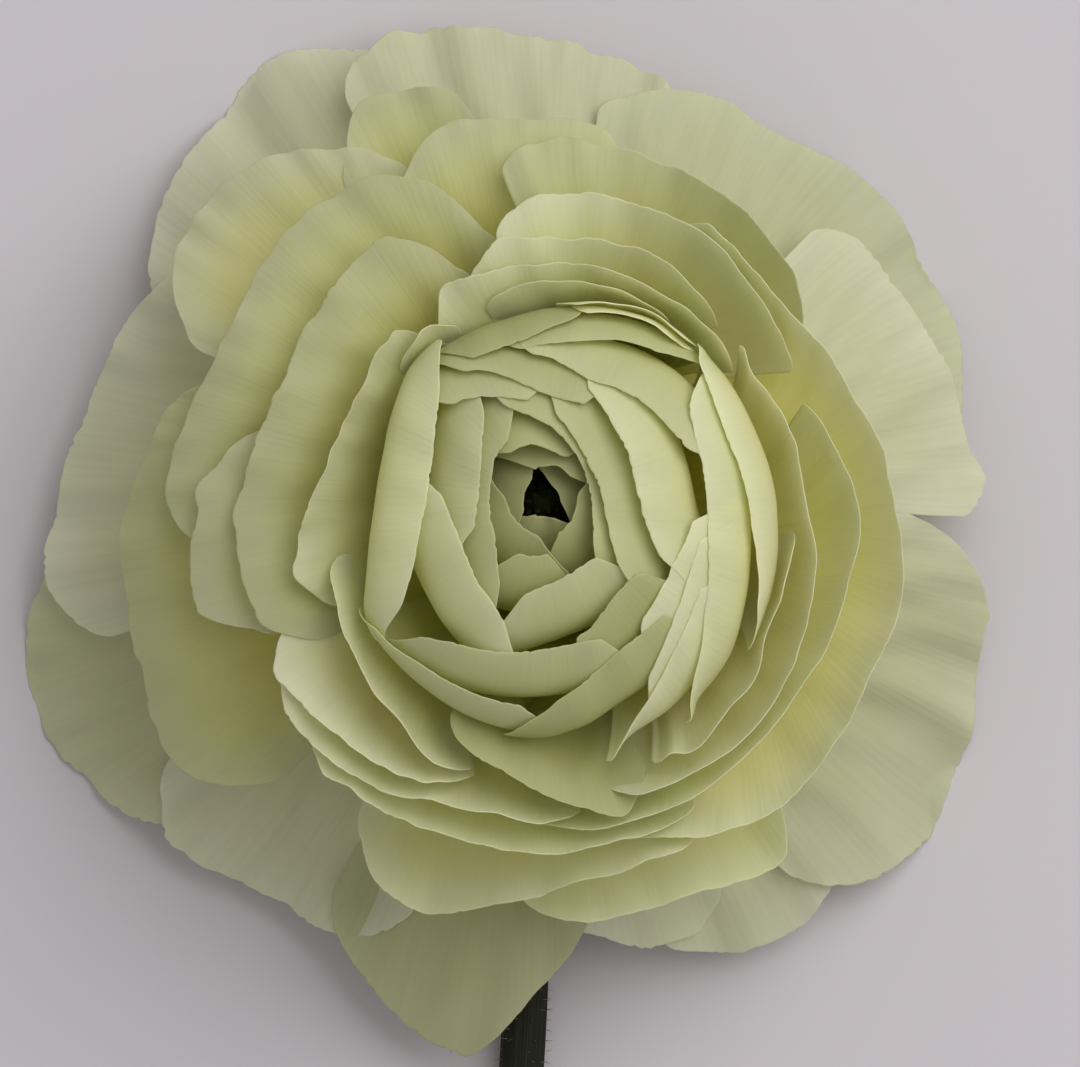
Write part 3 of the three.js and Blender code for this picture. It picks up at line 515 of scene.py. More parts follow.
CUPS = [
    [(115, 40.4, 0.87), (121, 40.8, 0.94), (130, 42.2), (138, 43), (146, 42.5), (154, 41.2, 0.93)],
    [(99, 38, 0.88), (103, 39.9), (107, 41.1), (111, 41.7), (115, 41.8), (120, 41.2, 0.9)],
    [(163, 38.2, 0.93), (173, 38.2), (180, 39.8), (192, 41), (205, 41.9), (209, 43), (216, 43.3),
     (224, 42.8, 0.93)],
    [(74, 35.4, 0.9), (82, 35.9), (94, 36.3), (105, 36.9), (113, 36.6, 0.93)],
    [(103, 33.9, 0.74), (112, 34.4, 0.94), (123, 35.3), (138, 35.1), (152, 34), (162, 34.4), (171, 35.4),
     (180, 36), (187, 36.2, 0.93)],
    [(166, 32.6, 0.85), (172, 32.6, 0.93), (178, 32.8), (185, 33.4), (193, 34.5), (198, 34.6),
     (204, 34.4, 0.88)],
    [(111, 28.2, 0.86), (116, 28.6, 0.95), (123, 29.2), (137, 28.3), (149, 27.7), (161, 27.4), (174, 28.5),
     (184, 29.5), (202, 29.6), (209, 29.6, 0.95)],
    [(124, 21.9, 0.85), (132, 21.3), (152, 20.3), (168, 20.8), (180, 21.9), (189, 23.7), (196, 24.8),
     (204, 26, 0.95)],
    [(118, 19.6, 0.90), (127, 19.5), (137, 18.9, 0.90)],
    [(34, 31, 0.9), (43, 31.8), (48, 32.3), (54, 33), (61, 33.5), (70, 33.8), (80, 34.1), (89, 34.4),
     (97, 34.4, 0.93)],
    [(28, 27, 0.93), (37, 27.4), (53, 28.5), (60, 29.2), (70, 29.4), (82, 29.3), (92, 28.9),
     (100, 28.4, 0.93)],
    [(46, 24.3, 0.90), (53, 24.4), (66, 25), (90, 25), (100, 25), (109, 25.2, 0.90)],
    [(35, 21.8, 0.93), (41, 22), (66, 22.4), (90, 22.3), (116, 22.2), (124, 21, 0.85)],
    [(56, 20.8, 0.93), (75, 20.8), (90, 20.7), (106, 20.7, 0.93)],
    [(-82, 33.6, 0.88), (-72, 34.2, 0.96), (-64, 35.4), (-54, 36.4), (-44, 36.1), (-31, 35), (-17, 34.9),
     (-10, 34.4), (0, 32.8), (10, 31.9), (22, 30.4), (29, 29.6), (38, 29.2), (44, 29.1), (53, 29.4),
     (60, 30.2), (66, 30.8, 0.9)],
    [(-92, 31.6, 0.90), (-80, 31.5), (-70, 31.3), (-60, 31), (-50, 30.6), (-39, 30), (-29, 29.7),
     (-18, 29.9), (-5, 29.5), (0, 29.3), (10, 28), (20, 26.9, 0.93)],
    [(-78, 28.8, 0.90), (-72, 29.1), (-64, 29.3), (-54, 29.3), (-44, 28.9), (-33, 27.9), (-25, 27.3),
     (-15, 26.2), (-5, 25.1), (1, 24.6), (10, 24), (17, 23.8), (25, 23.3), (33, 22.8), (38, 23.7)],
    [(-67, 27.3, 0.95), (-64, 26.6), (-61, 27.2), (-57, 27.1), (-52, 26.7), (-46, 26.2), (-40, 25.7),
     (-35, 25), (-29, 24.2), (-21, 23.7), (-14, 23.9), (-8, 23.9, 0.93)],
    [(242, 40, 0.95), (249, 40.3), (254, 41), (259, 39.6), (270, 37.1), (281, 35.8), (289, 35.4),
     (296, 35.8, 0.95)],
    [(266, 40.8, 0.93), (276, 40.3), (283, 39.9), (290, 39.8), (296, 40.6), (301, 41.1), (304, 40.8),
     (308, 40.2, 0.90)],
    [(222, 33.4, 0.90), (231, 33.2), (253, 33), (270, 33.3), (286, 32.9), (296, 33.4, 0.93)],
    [(210, 31.9, 0.90), (219, 31.9), (227, 31.9), (243, 31.4), (250, 30.4), (261, 29.7), (269, 30.5),
     (276, 30.8, 0.93)],
    [(206, 30.8, 0.90), (213, 30.5), (218, 30.3), (226, 29.8), (235, 29.5), (247, 29), (255, 28.2, 0.90)],
    [(196, 22, 0.90), (205, 22.1), (212, 22.6), (225, 23.7), (235, 24.9), (247, 26.9), (254, 26.9, 0.93)],
    [(247, 24.7, 0.93), (257, 25.4), (265, 26.6), (277, 29.4), (284, 30.8), (290, 30.8, 0.88)],
]

HEARTS = [
    [(124, 16.7, 0.97), (132, 14.6), (142, 12.7), (155, 11.5), (168, 11), (185, 11.3), (201, 12.8),
     (211, 14.6), (217, 16.6), (220, 18, 0.95)],
    [(46, 19.6, 0.93), (50, 19.9), (56, 20.2), (61, 20.2), (66, 19.9), (72, 19.3), (80, 18.6),
     (86, 18.1, 0.93)],
    [(46, 18.6, 0.93), (54, 19.1), (59, 19.2), (63, 19.1), (67, 18.9), (71, 18.5), (77, 17.9),
     (81, 17.5, 0.95)],
    [(80, 17.2), (91, 15.7), (98, 15), (108, 14.7), (117, 14.9), (125, 15.6, 0.93)],
    [(40, 18.1, 0.93), (53, 17.3), (64, 16.5), (76, 15.3), (86, 14.6), (98, 14.3), (108, 14.1, 0.95)],
    [(-36, 23.6, 0.95), (-26, 22.1), (-18, 21), (-9, 19.7), (-1, 19), (7, 18.5), (17, 18.1), (26, 18.1),
     (34, 18.5), (42, 19.3), (45, 20.2)],
    [(-57, 24.8), (-55, 23.4), (-50, 21.6), (-44, 20.2), (-37, 18.6), (-28, 17.2), (-14, 15.7), (2, 15.1),
     (14, 15), (27, 15.4), (34, 16.2), (38, 17.6)],
    [(-76, 25.2), (-73, 24), (-69, 22.6), (-63, 21.2), (-56, 19.7), (-51, 18.8), (-45, 18), (-36, 17.2),
     (-30, 16.7), (-24, 16.3, 0.93)],
    [(-63, 20.2, 0.97), (-60, 19.3), (-52, 17.7), (-44, 16.5), (-34, 15.6), (-25, 15.1), (-15, 14.9),
     (-6, 14.9, 0.90)],
    [(261, 21.8, 0.97), (265, 21), (271, 19.5), (274, 18.7), (280, 17.8), (286, 16.8), (293, 16),
     (301, 15.5), (309, 15.4), (316, 15.4), (320, 15.5, 0.93)],
    [(211, 20.3, 0.93), (217, 19.9), (223, 19.7), (231, 19.4), (238, 19.3), (245, 19.2), (252, 19.3),
     (258, 19.4), (263, 19.4), (269, 19.3, 0.95)],
    [(222, 18, 0.93), (228, 17.1), (237, 15.9), (247, 15.2), (256, 14.7), (265, 14.2), (274, 13.9),
     (283, 13.7), (292, 14), (300, 14.8, 0.93)],
    [(11, 14.7, 0.93), (19, 14.1), (28, 13.5), (39, 13.1), (51, 12.6), (61, 12.2), (69, 11.9), (78, 12.4),
     (88, 13.2), (95, 13.5), (101, 13.7, 0.96)],
    [(-59, 15.1, 0.93), (-52, 14.5), (-44, 14), (-35, 13.6), (-25, 13.4), (-16, 13.7), (-8, 14),
     (-1, 14.5, 0.93)],
    [(-30, 13, 0.97), (-27, 11.9), (-18, 10.2), (-4, 8.9), (14, 8.6), (28, 8.8), (45, 9.3), (58, 10.1),
     (69, 11.1), (76, 11.8, 0.93)],
    [(-80, 13.3, 0.93), (-77, 13.1), (-72, 12.9), (-62, 11.7), (-48, 10.9), (-37, 11.3), (-32, 12.4, 0.93)],
    [(60, 9.6, 0.93), (68, 9.6), (85, 9.6), (97, 10.5), (106, 11.7), (115, 13.2), (122, 14),
     (128, 14.7, 0.95)],
    [(166, 10.7, 0.95), (178, 9.6), (200, 8.8), (219, 9.2), (232, 10), (243, 10.8), (252, 12.1),
     (262, 14, 0.95)],
    [(-47, 10.6, 0.97), (-42, 8.9), (-28, 6.8), (-8, 5.6), (27, 5.1), (55, 5.8), (76, 7.2), (84, 8.1),
     (91, 9, 0.93)],
    [(89, 8.4, 0.93), (101, 9.4), (110, 10.1), (121, 11.2), (128, 11.9), (134, 12.3), (140, 12.6, 0.95)],
    [(120, 10.3, 0.95), (125, 9.6), (137, 8), (153, 6.8), (175, 6.2), (201, 7), (216, 8.5, 0.93)],
    [(249, 10.2, 0.93), (257, 9.2), (265, 8.4), (280, 7.5), (299, 7.1), (312, 7.2), (321, 7.7, 0.93)],
    [(103, 7.6, 0.93), (120, 6.6), (139, 6.1), (156, 5.5), (174, 5.2), (199, 5.3), (220, 6), (234, 7.5),
     (243, 9.1), (250, 11, 0.93)],
    [(-59, 6.7, 0.95), (-42, 5.9), (-24, 4.8), (1, 4.3), (30, 4.4), (46, 4.8), (64, 5.4), (78, 6.2),
     (87, 6.8), (97, 7.6), (107, 8.5), (114, 9.5), (120, 10.6, 0.95)],
    [(228, 6.3, 0.93), (243, 5.7), (260, 5.4), (274, 5.1), (286, 4.8, 0.93)],
    [(150, 4.6, 0.95), (175, 3.8), (205, 3.4), (235, 3.3), (262, 3.5), (285, 4.2, 0.95)],
    [(-88, 3.3, 0.95), (-65, 3.2), (-42, 3.1), (-14, 3), (10, 3.1), (35, 3.7, 0.95)],
    [(15, 2.9, 0.95), (40, 3.2), (66, 3.2), (87, 3.1), (110, 3), (135, 3.3, 0.95)],
    [(100, 2.3, 0.95), (126, 2.1), (166, 2), (206, 2.1), (232, 2.3, 0.95)],
    [(205, 1.6, 0.95), (237, 1.7), (269, 1.6), (296, 1.9), (325, 2.2, 0.95)],
    [(-50, 1.9, 0.95), (-14, 1.5), (28, 1.4), (70, 1.5), (110, 1.8, 0.95)],
    [(50, 4.2, 0.95), (66, 4.3), (88, 4.7), (108, 5.3), (126, 5.4), (143, 5.2, 0.95)],
]

# %% [markdown]
# ## From rims to surfaces
#
# The rim's points are joined by a smooth curve, and the height and lean of the rim follow from its radius
# and angle alone. That is what keeps nearly seventy petals apart without testing any pair. The functions
# take whole arrays, so a petal of five thousand points is one call.

# %% The surface functions


def smooth_step(value, low, high):
    """0 below low, 1 above high, and 3x squared minus 2x cubed between."""
    x = np.clip((value - low) / (high - low), 0, 1)
    return x * x * (3 - 2 * x)


def blend_of(pair, share):
    """The first number of the pair plus share times the way to the second."""
    return pair[0] + (pair[1] - pair[0]) * share


def cosd(angle):
    """Cosine of an angle in degrees."""
    return np.cos(np.radians(angle))


def sind(angle):
    """Sine of an angle in degrees."""
    return np.sin(np.radians(angle))


def rim_table(rim):
    """A rim as an array of angle, radius, reach and lift. A missing reach is 1, and a missing lift 0."""
    return np.array([tuple(point) + (1, 0)[len(point) - 2:] for point in rim], float)


def cubic(x, start, end, leave, arrive):
    """A cubic from start to end, for x from 0 to 1, that leaves and arrives with the given slopes."""
    back = 1 - x
    return (back**2 * ((1 + 2 * x) * start + x * leave)
            + x**2 * ((3 - 2 * x) * end - back * arrive))


def along_rim(table, angle, column):
    """A column's value at an angle: a cubic through the points, with slopes from their neighbours."""
    at, value = table[:, 0], table[:, column]
    number = np.arange(len(at))
    before, after = np.maximum(number - 1, 0), np.minimum(number + 1, len(at) - 1)
    slope = (value[after] - value[before]) / (at[after] - at[before])
    i = np.clip(np.searchsorted(at, angle) - 1, 0, len(at) - 2)
    width = at[i + 1] - at[i]
    x = np.clip((angle - at[i]) / width, 0, 1)
    return cubic(x, value[i], value[i + 1], width * slope[i], width * slope[i + 1])


def upright_radius(angle):
    """Radius inside which petals lean inward: a circle set off from the axis."""
    return UPRIGHT_RADIUS + UPRIGHT_OFFSET * cosd(angle - UPRIGHT_ANGLE)


def openness(angle):
    """1 where the petals lie open, and 0 where they stand in a funnel."""
    return smooth_step(0.5 + OPEN_SPREAD * cosd(angle - OPEN_ANGLE), 0, 1)


def guard_rim_height(radius, angle):
    """Lower the further the rim reaches, and raised in a bell curve where it lies over the stalk."""
    turn = (angle - STEM_ANGLE + 180) % 360 - 180
    return (GUARD_RIM_HEIGHT - GUARD_FALL * (radius - GUARD_RIM_RADIUS)
            + STEM_RAISE * np.exp(-((turn / STEM_SPREAD) ** 2)))


def inner_rim_height(radius, angle):
    """A dome with a dip at the hole, which falls away outside the upright circle in a parabola."""
    upright = upright_radius(angle)
    out = np.maximum(0, radius - upright)
    dome = TOP_HEIGHT - DOME_FALL * np.minimum(radius, upright) ** 2
    dip = HOLE_DIP * np.maximum(0, HOLE_RADIUS - radius) ** 2
    share = openness(angle)
    slope = blend_of((FUNNEL_FALL[0], OPEN_FALL[0]), share)
    bend = blend_of((FUNNEL_FALL[1], OPEN_FALL[1]), share)
    return dome - dip - slope * out - bend * out**2 - OUTER_FALL * np.maximum(0, radius - OUTER_RADIUS)


def inner_rim_lean(radius, angle):
    """Degrees above level of the rim's direction: 90 at the upright circle, more inside it, less outside."""
    upright = upright_radius(angle)
    inside, outside = np.maximum(0, upright - radius), np.maximum(0, radius - upright)
    share = openness(angle)
    inward = INWARD_TURN * (1 - np.exp(-((inside / INWARD_OVER) ** INWARD_EASE)))
    outward = OUTWARD_TURN * (1 - np.exp(-outside / blend_of((FUNNEL_OVER, OPEN_OVER), share)))
    return 90 + inward - outward - OUTER_TURN * (1 - share) * np.maximum(0, radius - OUTER_RADIUS)


def rim_pull(radius, angle):
    """Length of the rim's handle as a share of the chord, longer inside the upright circle for flat faces."""
    inside = np.maximum(0, upright_radius(angle) - radius)
    return blend_of((RIM_PULL, INWARD_PULL), 1 - np.exp(-inside / PULL_OVER))


def shell_points(whorl, tier, radius, angle, share, lift, tilt=0):
    """Points at a share of the profile curve: a cubic Bezier with its ends at root and rim.

    Its handles follow the root's and the rim's lean, and are a share of the chord long."""
    guard = whorl is GUARD_WHORL
    across = np.clip((radius - whorl["rims"][0]) / (whorl["rims"][1] - whorl["rims"][0]), 0, 1)
    down = tier if guard else across
    root_radius = blend_of((whorl["root"][0][0], whorl["root"][1][0]), down)
    root_height = blend_of((whorl["root"][0][1], whorl["root"][1][1]), down)
    root_lean = blend_of(whorl["lean"], across)
    rim_height = (guard_rim_height(radius, angle) if guard else inner_rim_height(radius, angle)) + lift
    rim_lean = (GUARD_RIM_LEAN if guard else inner_rim_lean(radius, angle)) - tilt
    chord = np.hypot(radius - root_radius, rim_height - root_height)
    first, last = ROOT_PULL * chord, (RIM_PULL if guard else rim_pull(radius, angle)) * chord
    back = 1 - share
    weights = (back**3, 3 * share * back**2, 3 * share**2 * back, share**3)
    r = (weights[0] * root_radius + weights[1] * (root_radius + first * cosd(root_lean))
         + weights[2] * (radius - last * cosd(rim_lean)) + weights[3] * radius)
    z = (weights[0] * root_height + weights[1] * (root_height + first * sind(root_lean))
         + weights[2] * (rim_height - last * sind(rim_lean)) + weights[3] * rim_height)
    return np.stack([r * cosd(angle), r * sind(angle), z], -1)


# %% [markdown]
# ## One petal
#
# A real rim is neither even nor flat. It runs in uneven scallops, with small round teeth and sharp notches
# between them, and its last millimetres curl to and fro. The sheet behind it waves gently, more towards the
# rim and hardly at all near the root. Scallops and notches shorten the profile, and waves and curls move
# the sheet along its normal. Rows lie closer together near the rim, where the detail is.

# %% One petal
CELL = 0.36  # millimetres between columns at the rim
LEAST_COLUMNS = 24
SIDE_CROWDING = 0.3  # how much closer together the columns lie at the side edges
ROW_CROWDING = 1.5
ROOT_LENGTH, LENGTH_GAIN = 12, 0.7  # a petal is about this long, plus this much for each mm of its radius
CORNER_SHARE, CORNER_MORE = 0.45, 0.5  # a corner takes at most this share of half the rim, plus this many mm
CORNER_ROUND = 0.98
RIPPLE_SHARE, RIPPLE_FINENESS = 0.12, 3.3  # small ripples on the waves
WAVE_SLANT = 3  # millimetres that a wave wanders to the side from root to rim
SCALLOP_SHARPNESS = 1.5
NOTCH_POWER, WAVE_POWER = 5, 3  # how closely notches and waves keep to the rim
TOOTH_WARP, TOOTH_WARP_LENGTH = 0.9, 3.1  # how unevenly the teeth follow each other, over how many teeth
TOOTH_DEPTHS, TOOTH_DEPTH_LENGTH, TOOTH_SHARPNESS = (0.55, 0.45), 4.3, 1.5
SIDE_THIN, RIM_THIN = 0.12, 0.55  # where across and up the sheet starts to thin out
UV_STEP = 60  # millimetres between the places of two petals in the vein pattern
TOUCH = 0.02  # millimetres left under a sheet that lies on the surface
RUFFLE_SEED = 40
STEEP_RUFFLE = 0.3  # how much of its scallops and curls a rim keeps where the petals stand in a funnel
SMOOTH_RADII = (8, 26)  # rims nearer the axis than the first are smooth
CURL_POWER = 9  # how closely the curls keep to the rim
MARGIN = 8.0  # millimetres in from the edge over which the ivory of a rim turns to yellow
# Young petals are greener, and their darker tint also paints the shade deep in the heart.
YOUNG_RADII = (4, 12)  # rims nearer the axis than this belong to young petals, which are greener


def waves(rng, length, spacing, count=4):
    """A sum of sines over a length, of about that spacing, each with its own phase. From -1 to 1."""
    spacings = spacing * rng.uniform(0.6, 1.7, count)
    phases = rng.uniform(0, 2 * np.pi, count)
    sizes = rng.uniform(0.5, 1, count)
    total = sum(s * np.sin(2 * np.pi * length / w + p) for s, w, p in zip(sizes, spacings, phases))
    return total / sizes.sum()


def notches(rng, length, spacing):
    """Teeth along a rim: 1 minus the absolute sine of a warped phase, sharp at the notches. From 0 to 1."""
    warp = TOOTH_WARP * waves(rng, length, spacing * TOOTH_WARP_LENGTH)
    phase = length / spacing + warp + rng.uniform(0, 1)
    depth = TOOTH_DEPTHS[0] + TOOTH_DEPTHS[1] * waves(rng, length, spacing * TOOTH_DEPTH_LENGTH)
    return depth * (1 - np.abs(np.sin(np.pi * phase))) ** TOOTH_SHARPNESS


def petal_grid(rows, width):
    """Two grids: across, from -1 to 1 between the sides, and up, from 0 at the root to 1 at the rim.

    A cubic draws the columns together at the sides, and a power draws the rows together at the rim."""
    even = np.linspace(-1, 1, max(LEAST_COLUMNS, int(width / CELL)))
    across = even * (1 + SIDE_CROWDING) - SIDE_CROWDING * even**3
    return np.meshgrid(across, 1 - (1 - np.linspace(0, 1, rows)) ** ROW_CROWDING)


def rounded_corner(across, width, corner_width, corner_height):
    """Millimetres cut off the profile near the rim's ends: a quarter ellipse, as wide and high as given."""
    corner_width = min(corner_width, CORNER_SHARE * width / 2 + CORNER_MORE)
    cut_in = np.clip(1 - (1 - np.abs(across)) * width / 2 / corner_width, 0, 1)
    return corner_height * (1 - np.sqrt(1 - CORNER_ROUND * cut_in**2))


def edge_and_height(surface, to_side):
    """How far in from the edge each point lies, as a share of the margin, and its way up from the root."""
    height = travelled(surface)
    return np.minimum(np.minimum(height[-1:] - height, to_side), MARGIN) / MARGIN, height


def petal(whorl, number, tier, rim):
    """One petal of a whorl as a closed piece.

    Its outline comes from its rim. Teeth and scallops shorten the profile, and waves and curls bend it."""
    rng = chance(len(whorl["name"]), number)
    table = rim_table(rim)
    form = whorl["pointed" if number in whorl["points"] else "round"]
    widest, root_width, run_on, corner_width, corner_height = form
    mean_radius = table[:, 1].mean()
    middle_angle = (table[0, 0] + table[-1, 0]) / 2
    half_angle = (table[-1, 0] - table[0, 0]) / 2 + np.degrees(run_on / mean_radius)
    width = 2 * np.radians(half_angle) * mean_radius
    across, up = petal_grid(whorl["rows"], width)
    rim_angle = middle_angle + half_angle * across
    taper = blend_of((root_width, 1), smooth_step(up, 0, widest))
    angle = middle_angle + half_angle * across * taper
    radius = along_rim(table, rim_angle, 1)
    reach = np.minimum(1, along_rim(table, rim_angle, 2))
    corner = rounded_corner(across, width, corner_width, corner_height)
    lift = along_rim(table, rim_angle, 3)
    along = across * width / 2
    length = ROOT_LENGTH + LENGTH_GAIN * radius
    tooth = whorl["notch"][0] * notches(rng, along, whorl["notch"][1])
    ruffle = chance(RUFFLE_SEED + len(whorl["name"]), number)
    loose = blend_of((STEEP_RUFFLE, 1), openness(angle)) * smooth_step(radius, *SMOOTH_RADII)
    hollow = 0.5 + waves(ruffle, along, whorl["scallop"][1]) / 2
    scallop = whorl["scallop"][0] * loose * hollow**SCALLOP_SHARPNESS
    share = reach * up * (1 - corner / length) * (1 - (tooth + scallop) / length * up**NOTCH_POWER)
    surface = shell_points(whorl, tier, radius, angle, share, lift * up, whorl["tilt"].get(number, 0))
    wave, spacing = whorl["wave"]
    sway = waves(rng, along + WAVE_SLANT * up, spacing)
    sway = sway + RIPPLE_SHARE * waves(rng, along, spacing / RIPPLE_FINENESS)
    curl = whorl["curl"][0] * loose * waves(ruffle, along, whorl["curl"][1]) * up**CURL_POWER
    surface = surface + normals_of(surface) * (wave * sway * up**WAVE_POWER + curl)[..., None]
    full = (1 - smooth_step(up, RIM_THIN, 1)) * smooth_step(1 - np.abs(across), 0, SIDE_THIN)
    thickness = blend_of((whorl["sheet"][1], whorl["sheet"][0]), full)
    surface[..., 2] = np.maximum(surface[..., 2], thickness / 2 + TOUCH)
    points, faces, source = closed_sheet(surface, thickness)
    edge, height = edge_and_height(surface, (1 - np.abs(across)) * width / 2 * taper)
    tone = np.full(points.shape[0], rng.uniform(-1, 1))
    # Painted shade: young petals in the deep heart and single petals that lie in shade get a darker tint.
    young = 1 - smooth_step(mean_radius, *YOUNG_RADII)
    youth_and_painted_shade = np.full(points.shape[0], max(young, whorl["youth_and_painted_shade"].get(number, 0)))
    values = {"rise": up.ravel()[source], "edge": edge.ravel()[source], "tone": tone, "youth_and_painted_shade": youth_and_painted_shade}
    place = np.stack([along.ravel()[source] + UV_STEP * number, height.ravel()[source]], 1)
    name = f"{whorl['name']}_petal_{number:02d}"
    return piece_of(name, points, faces, PETAL_SKINS[whorl["name"]],
                    [whorl["name"] + "_petals"], values, place)


# %% [markdown]
# ## Guard petals
#
# The eleven outermost petals are the ones that the flower lies on. They are broad and thin, and some droop.
# They have the deepest notches, because they opened first and are the oldest.

# %% The guard petals
guards = [petal(GUARD_WHORL, number, tier, rim) for number, (tier, rim) in enumerate(GUARDS, 1)]
print("guard petals:", len(guards), "with", sum(len(p.data.polygons) for p in guards), "faces")

# %% [markdown]
# ## Cup petals
#
# The twenty-five middle petals make the cup. Those on the left have opened and turned their faces up, and
# those on the right still stand, so only their rims and the deep gaps between them show.

# %% The cup petals
cups = [petal(CUP_WHORL, number, 0, rim) for number, rim in enumerate(CUPS, 1)]
print("cup petals:", len(cups), "with", sum(len(p.data.polygons) for p in cups), "faces")

# %% [markdown]
# ## Heart petals
#
# The innermost petals wrap each other round the seed head and lean over it. They are small, smooth and
# close together, and leave a three-cornered hole.

# %% The heart petals
hearts = [petal(HEART_WHORL, number, 0, rim) for number, rim in enumerate(HEARTS, 1)]
print("heart petals:", len(hearts), "with", sum(len(p.data.polygons) for p in hearts), "faces")

# %% [markdown]
# ## Green parts
#
# The stalk, the sepals and the receptacle are green tissue with fine lengthwise ribs. The stalk in the
# photograph is very dark, with a brown cast. One finish with other colours does for all of them: colour
# from the veins group, and the same pattern as relief.

# %% The green finishes
FLESH_COLOUR = (0.42, 0.5, 0.24, 1)  # the wet inside of the stalk
GREEN_SPECULAR, GREEN_GRAIN = 0.2, 0.003
RIB_SHARE = 0.6  # how much of the colour follows the ribs. The rest follows the unevenness.
RIB_BUMP = {"Strength": 0.4, "Distance": 0.0003}


def green_material(name, dark, light, spacing, roughness):
    """Ribbed green tissue: two colours mixed by the veins and by a soft unevenness, and ribs in relief."""
    material, tree, shader = finish_of(name, {"Roughness": roughness, "Specular IOR Level": GREEN_SPECULAR})
    place = add(tree, "ShaderNodeUVMap", uv_map="along").outputs[0]
    vein = effect(tree, VEINS, {"Place": place, "Spacing": spacing})
    mask = effect(tree, MOTTLE, {"Grain": GREEN_GRAIN})["Mask"]
    share = math_of(tree, "MULTIPLY", mask, 1 - RIB_SHARE)
    share = math_of(tree, "MULTIPLY_ADD", vein["Vein"], RIB_SHARE, share)
    flesh = value_of(tree, "flesh")  # 1 on the cut of the stalk, and 0 where a piece has no such number
    colour = mixed(tree, flesh, mixed(tree, share, dark, light), FLESH_COLOUR)
    tree.links.new(colour, shader.inputs["Base Color"])
    bump = add(tree, "ShaderNodeBump", RIB_BUMP | {"Height": vein["Height"]})
    tree.links.new(bump.outputs[0], shader.inputs["Normal"])
    return material


STEM_SKIN = green_material("stem_skin", (0.005, 0.006, 0.002, 1), (0.016, 0.018, 0.006, 1), 0.5, 0.6)
SEPAL_SKIN = green_material("sepal_skin", (0.16, 0.2, 0.06, 1), (0.34, 0.38, 0.13, 1), 0.5, 0.55)
CARPEL_SKIN = green_material("carpel_skin", (0.012, 0.018, 0.004, 1), (0.05, 0.065, 0.015, 1), 0.3, 0.55)
RECEPTACLE_SKIN = green_material("receptacle_skin", (0.2, 0.22, 0.06, 1), (0.35, 0.36, 0.12, 1), 0.6, 0.6)

# %% [markdown]
# ## Receptacle
#
# Every petal grows from the swollen end of the stalk. It is a turned shape: a profile of radius and height,
# carried round the axis. None of it shows from above, but it closes the flower inside and holds the roots.

# %% The receptacle


def tube_faces(rings, sides):
    """Faces of a closed tube: quads between rings that follow each other, and a fan at either end.

    The rings' points are numbered ring by ring. The next two are the middles of the first and last ring."""
    here = np.arange((rings - 1) * sides)
    there = here // sides * sides + (here + 1) % sides
    walls = np.stack([here, there, there + sides, here + sides], 1)
    spoke = np.arange(sides)
    after = (spoke + 1) % sides
    first, last = np.full(sides, rings * sides), (rings - 1) * sides
    fans = [np.stack([first, after, spoke], 1), np.stack([first + 1, last + spoke, last + after], 1)]
    return walls.tolist() + np.stack(fans, 1).reshape(-1, 3).tolist()


def turned(profile, sides):
    """Points and faces of a closed turned shape: each profile point carried round the axis, with a fan at
    either end. The profile runs from a point on the axis to another."""
    profile = np.array(profile, float)
    rings = profile[1:-1]
    angle = np.linspace(0, 360, sides, endpoint=False)
    points = np.stack([np.outer(rings[:, 0], cosd(angle)), np.outer(rings[:, 0], sind(angle)),
                       np.repeat(rings[:, 1:], sides, 1)], -1).reshape(-1, 3)
    points = np.concatenate([points, [[0, 0, profile[0, 1]], [0, 0, profile[-1, 1]]]])
    return points, tube_faces(len(rings), sides)


def round_axis(points, scale):
    """A turned shape's places in the vein pattern: degrees round the axis times a scale, and the height."""
    return np.stack([np.degrees(np.arctan2(points[:, 1], points[:, 0])) * scale, points[:, 2]], 1)


def smooth_line(points, steps):
    """A smooth curve through points: a cubic between each two, with slopes from their neighbours."""
    points = np.array(points, float)
    before = np.vstack([2 * points[:1] - points[1:2], points[:-1]])
    after = np.vstack([points[1:], 2 * points[-1:] - points[-2:-1]])
    slope = (after - before) / 2
    t = np.linspace(0, len(points) - 1, steps)
    i = np.minimum(t.astype(int), len(points) - 2)
    return cubic((t - i)[:, None], points[i], points[i + 1], slope[i], slope[i + 1])


RECEPTACLE = [(0, 12.7), (3.6, 12.8), (5.4, 13.6), (7.6, 15.2), (8.3, 16.6), (7.9, 18.4), (7.0, 20.2),
              (5.8, 22.2), (4.2, 24.4), (2.7, 26.0), (1.4, 26.8), (0, 27.0)]
points, faces = turned(smooth_line(RECEPTACLE, 60), 64)
TURN_TO_UV = 0.12  # millimetres of the vein pattern for each degree round
receptacle = piece_of("receptacle", points, faces, RECEPTACLE_SKIN, [],
                      place=round_axis(points, TURN_TO_UV))
print("receptacle:", len(receptacle.data.polygons), "faces")

# %% [markdown]
# ## Sepals
#
# Five green sepals held the bud together, and now lie back under the bloom. Each arches out from the
# receptacle, is widest past its middle and ends in a blunt tip, with a raised midrib and a thin, slightly
# waved edge.

# %% The sepals
SEPAL_TURNS = 18 + 72 * np.arange(5)
SEPAL_ROOT, SEPAL_LENGTH, SEPAL_ARCH, SEPAL_DROP = (4.4, 14.3), 10.5, 0.9, 3.2
SEPAL_WIDTHS, SEPAL_CURL, MIDRIB, MIDRIB_WIDTH = (1.9, 3.6), 0.35, 0.22, 0.5
SEPAL_SWELL, SWELL_LATE, SWELL_TAPER = 0.75, 1.15, 0.35  # how much it widens, how far up, how it thins out
SEPAL_LEAST, SEPAL_THIN = 0.2, 0.2  # millimetres of width at the tip, and share of the width that thins out
SEPAL_WAVE, SEPAL_SHEET = (0.22, 3.0), 0.24
SEPAL_COLUMNS, SEPAL_ROWS = 49, 61


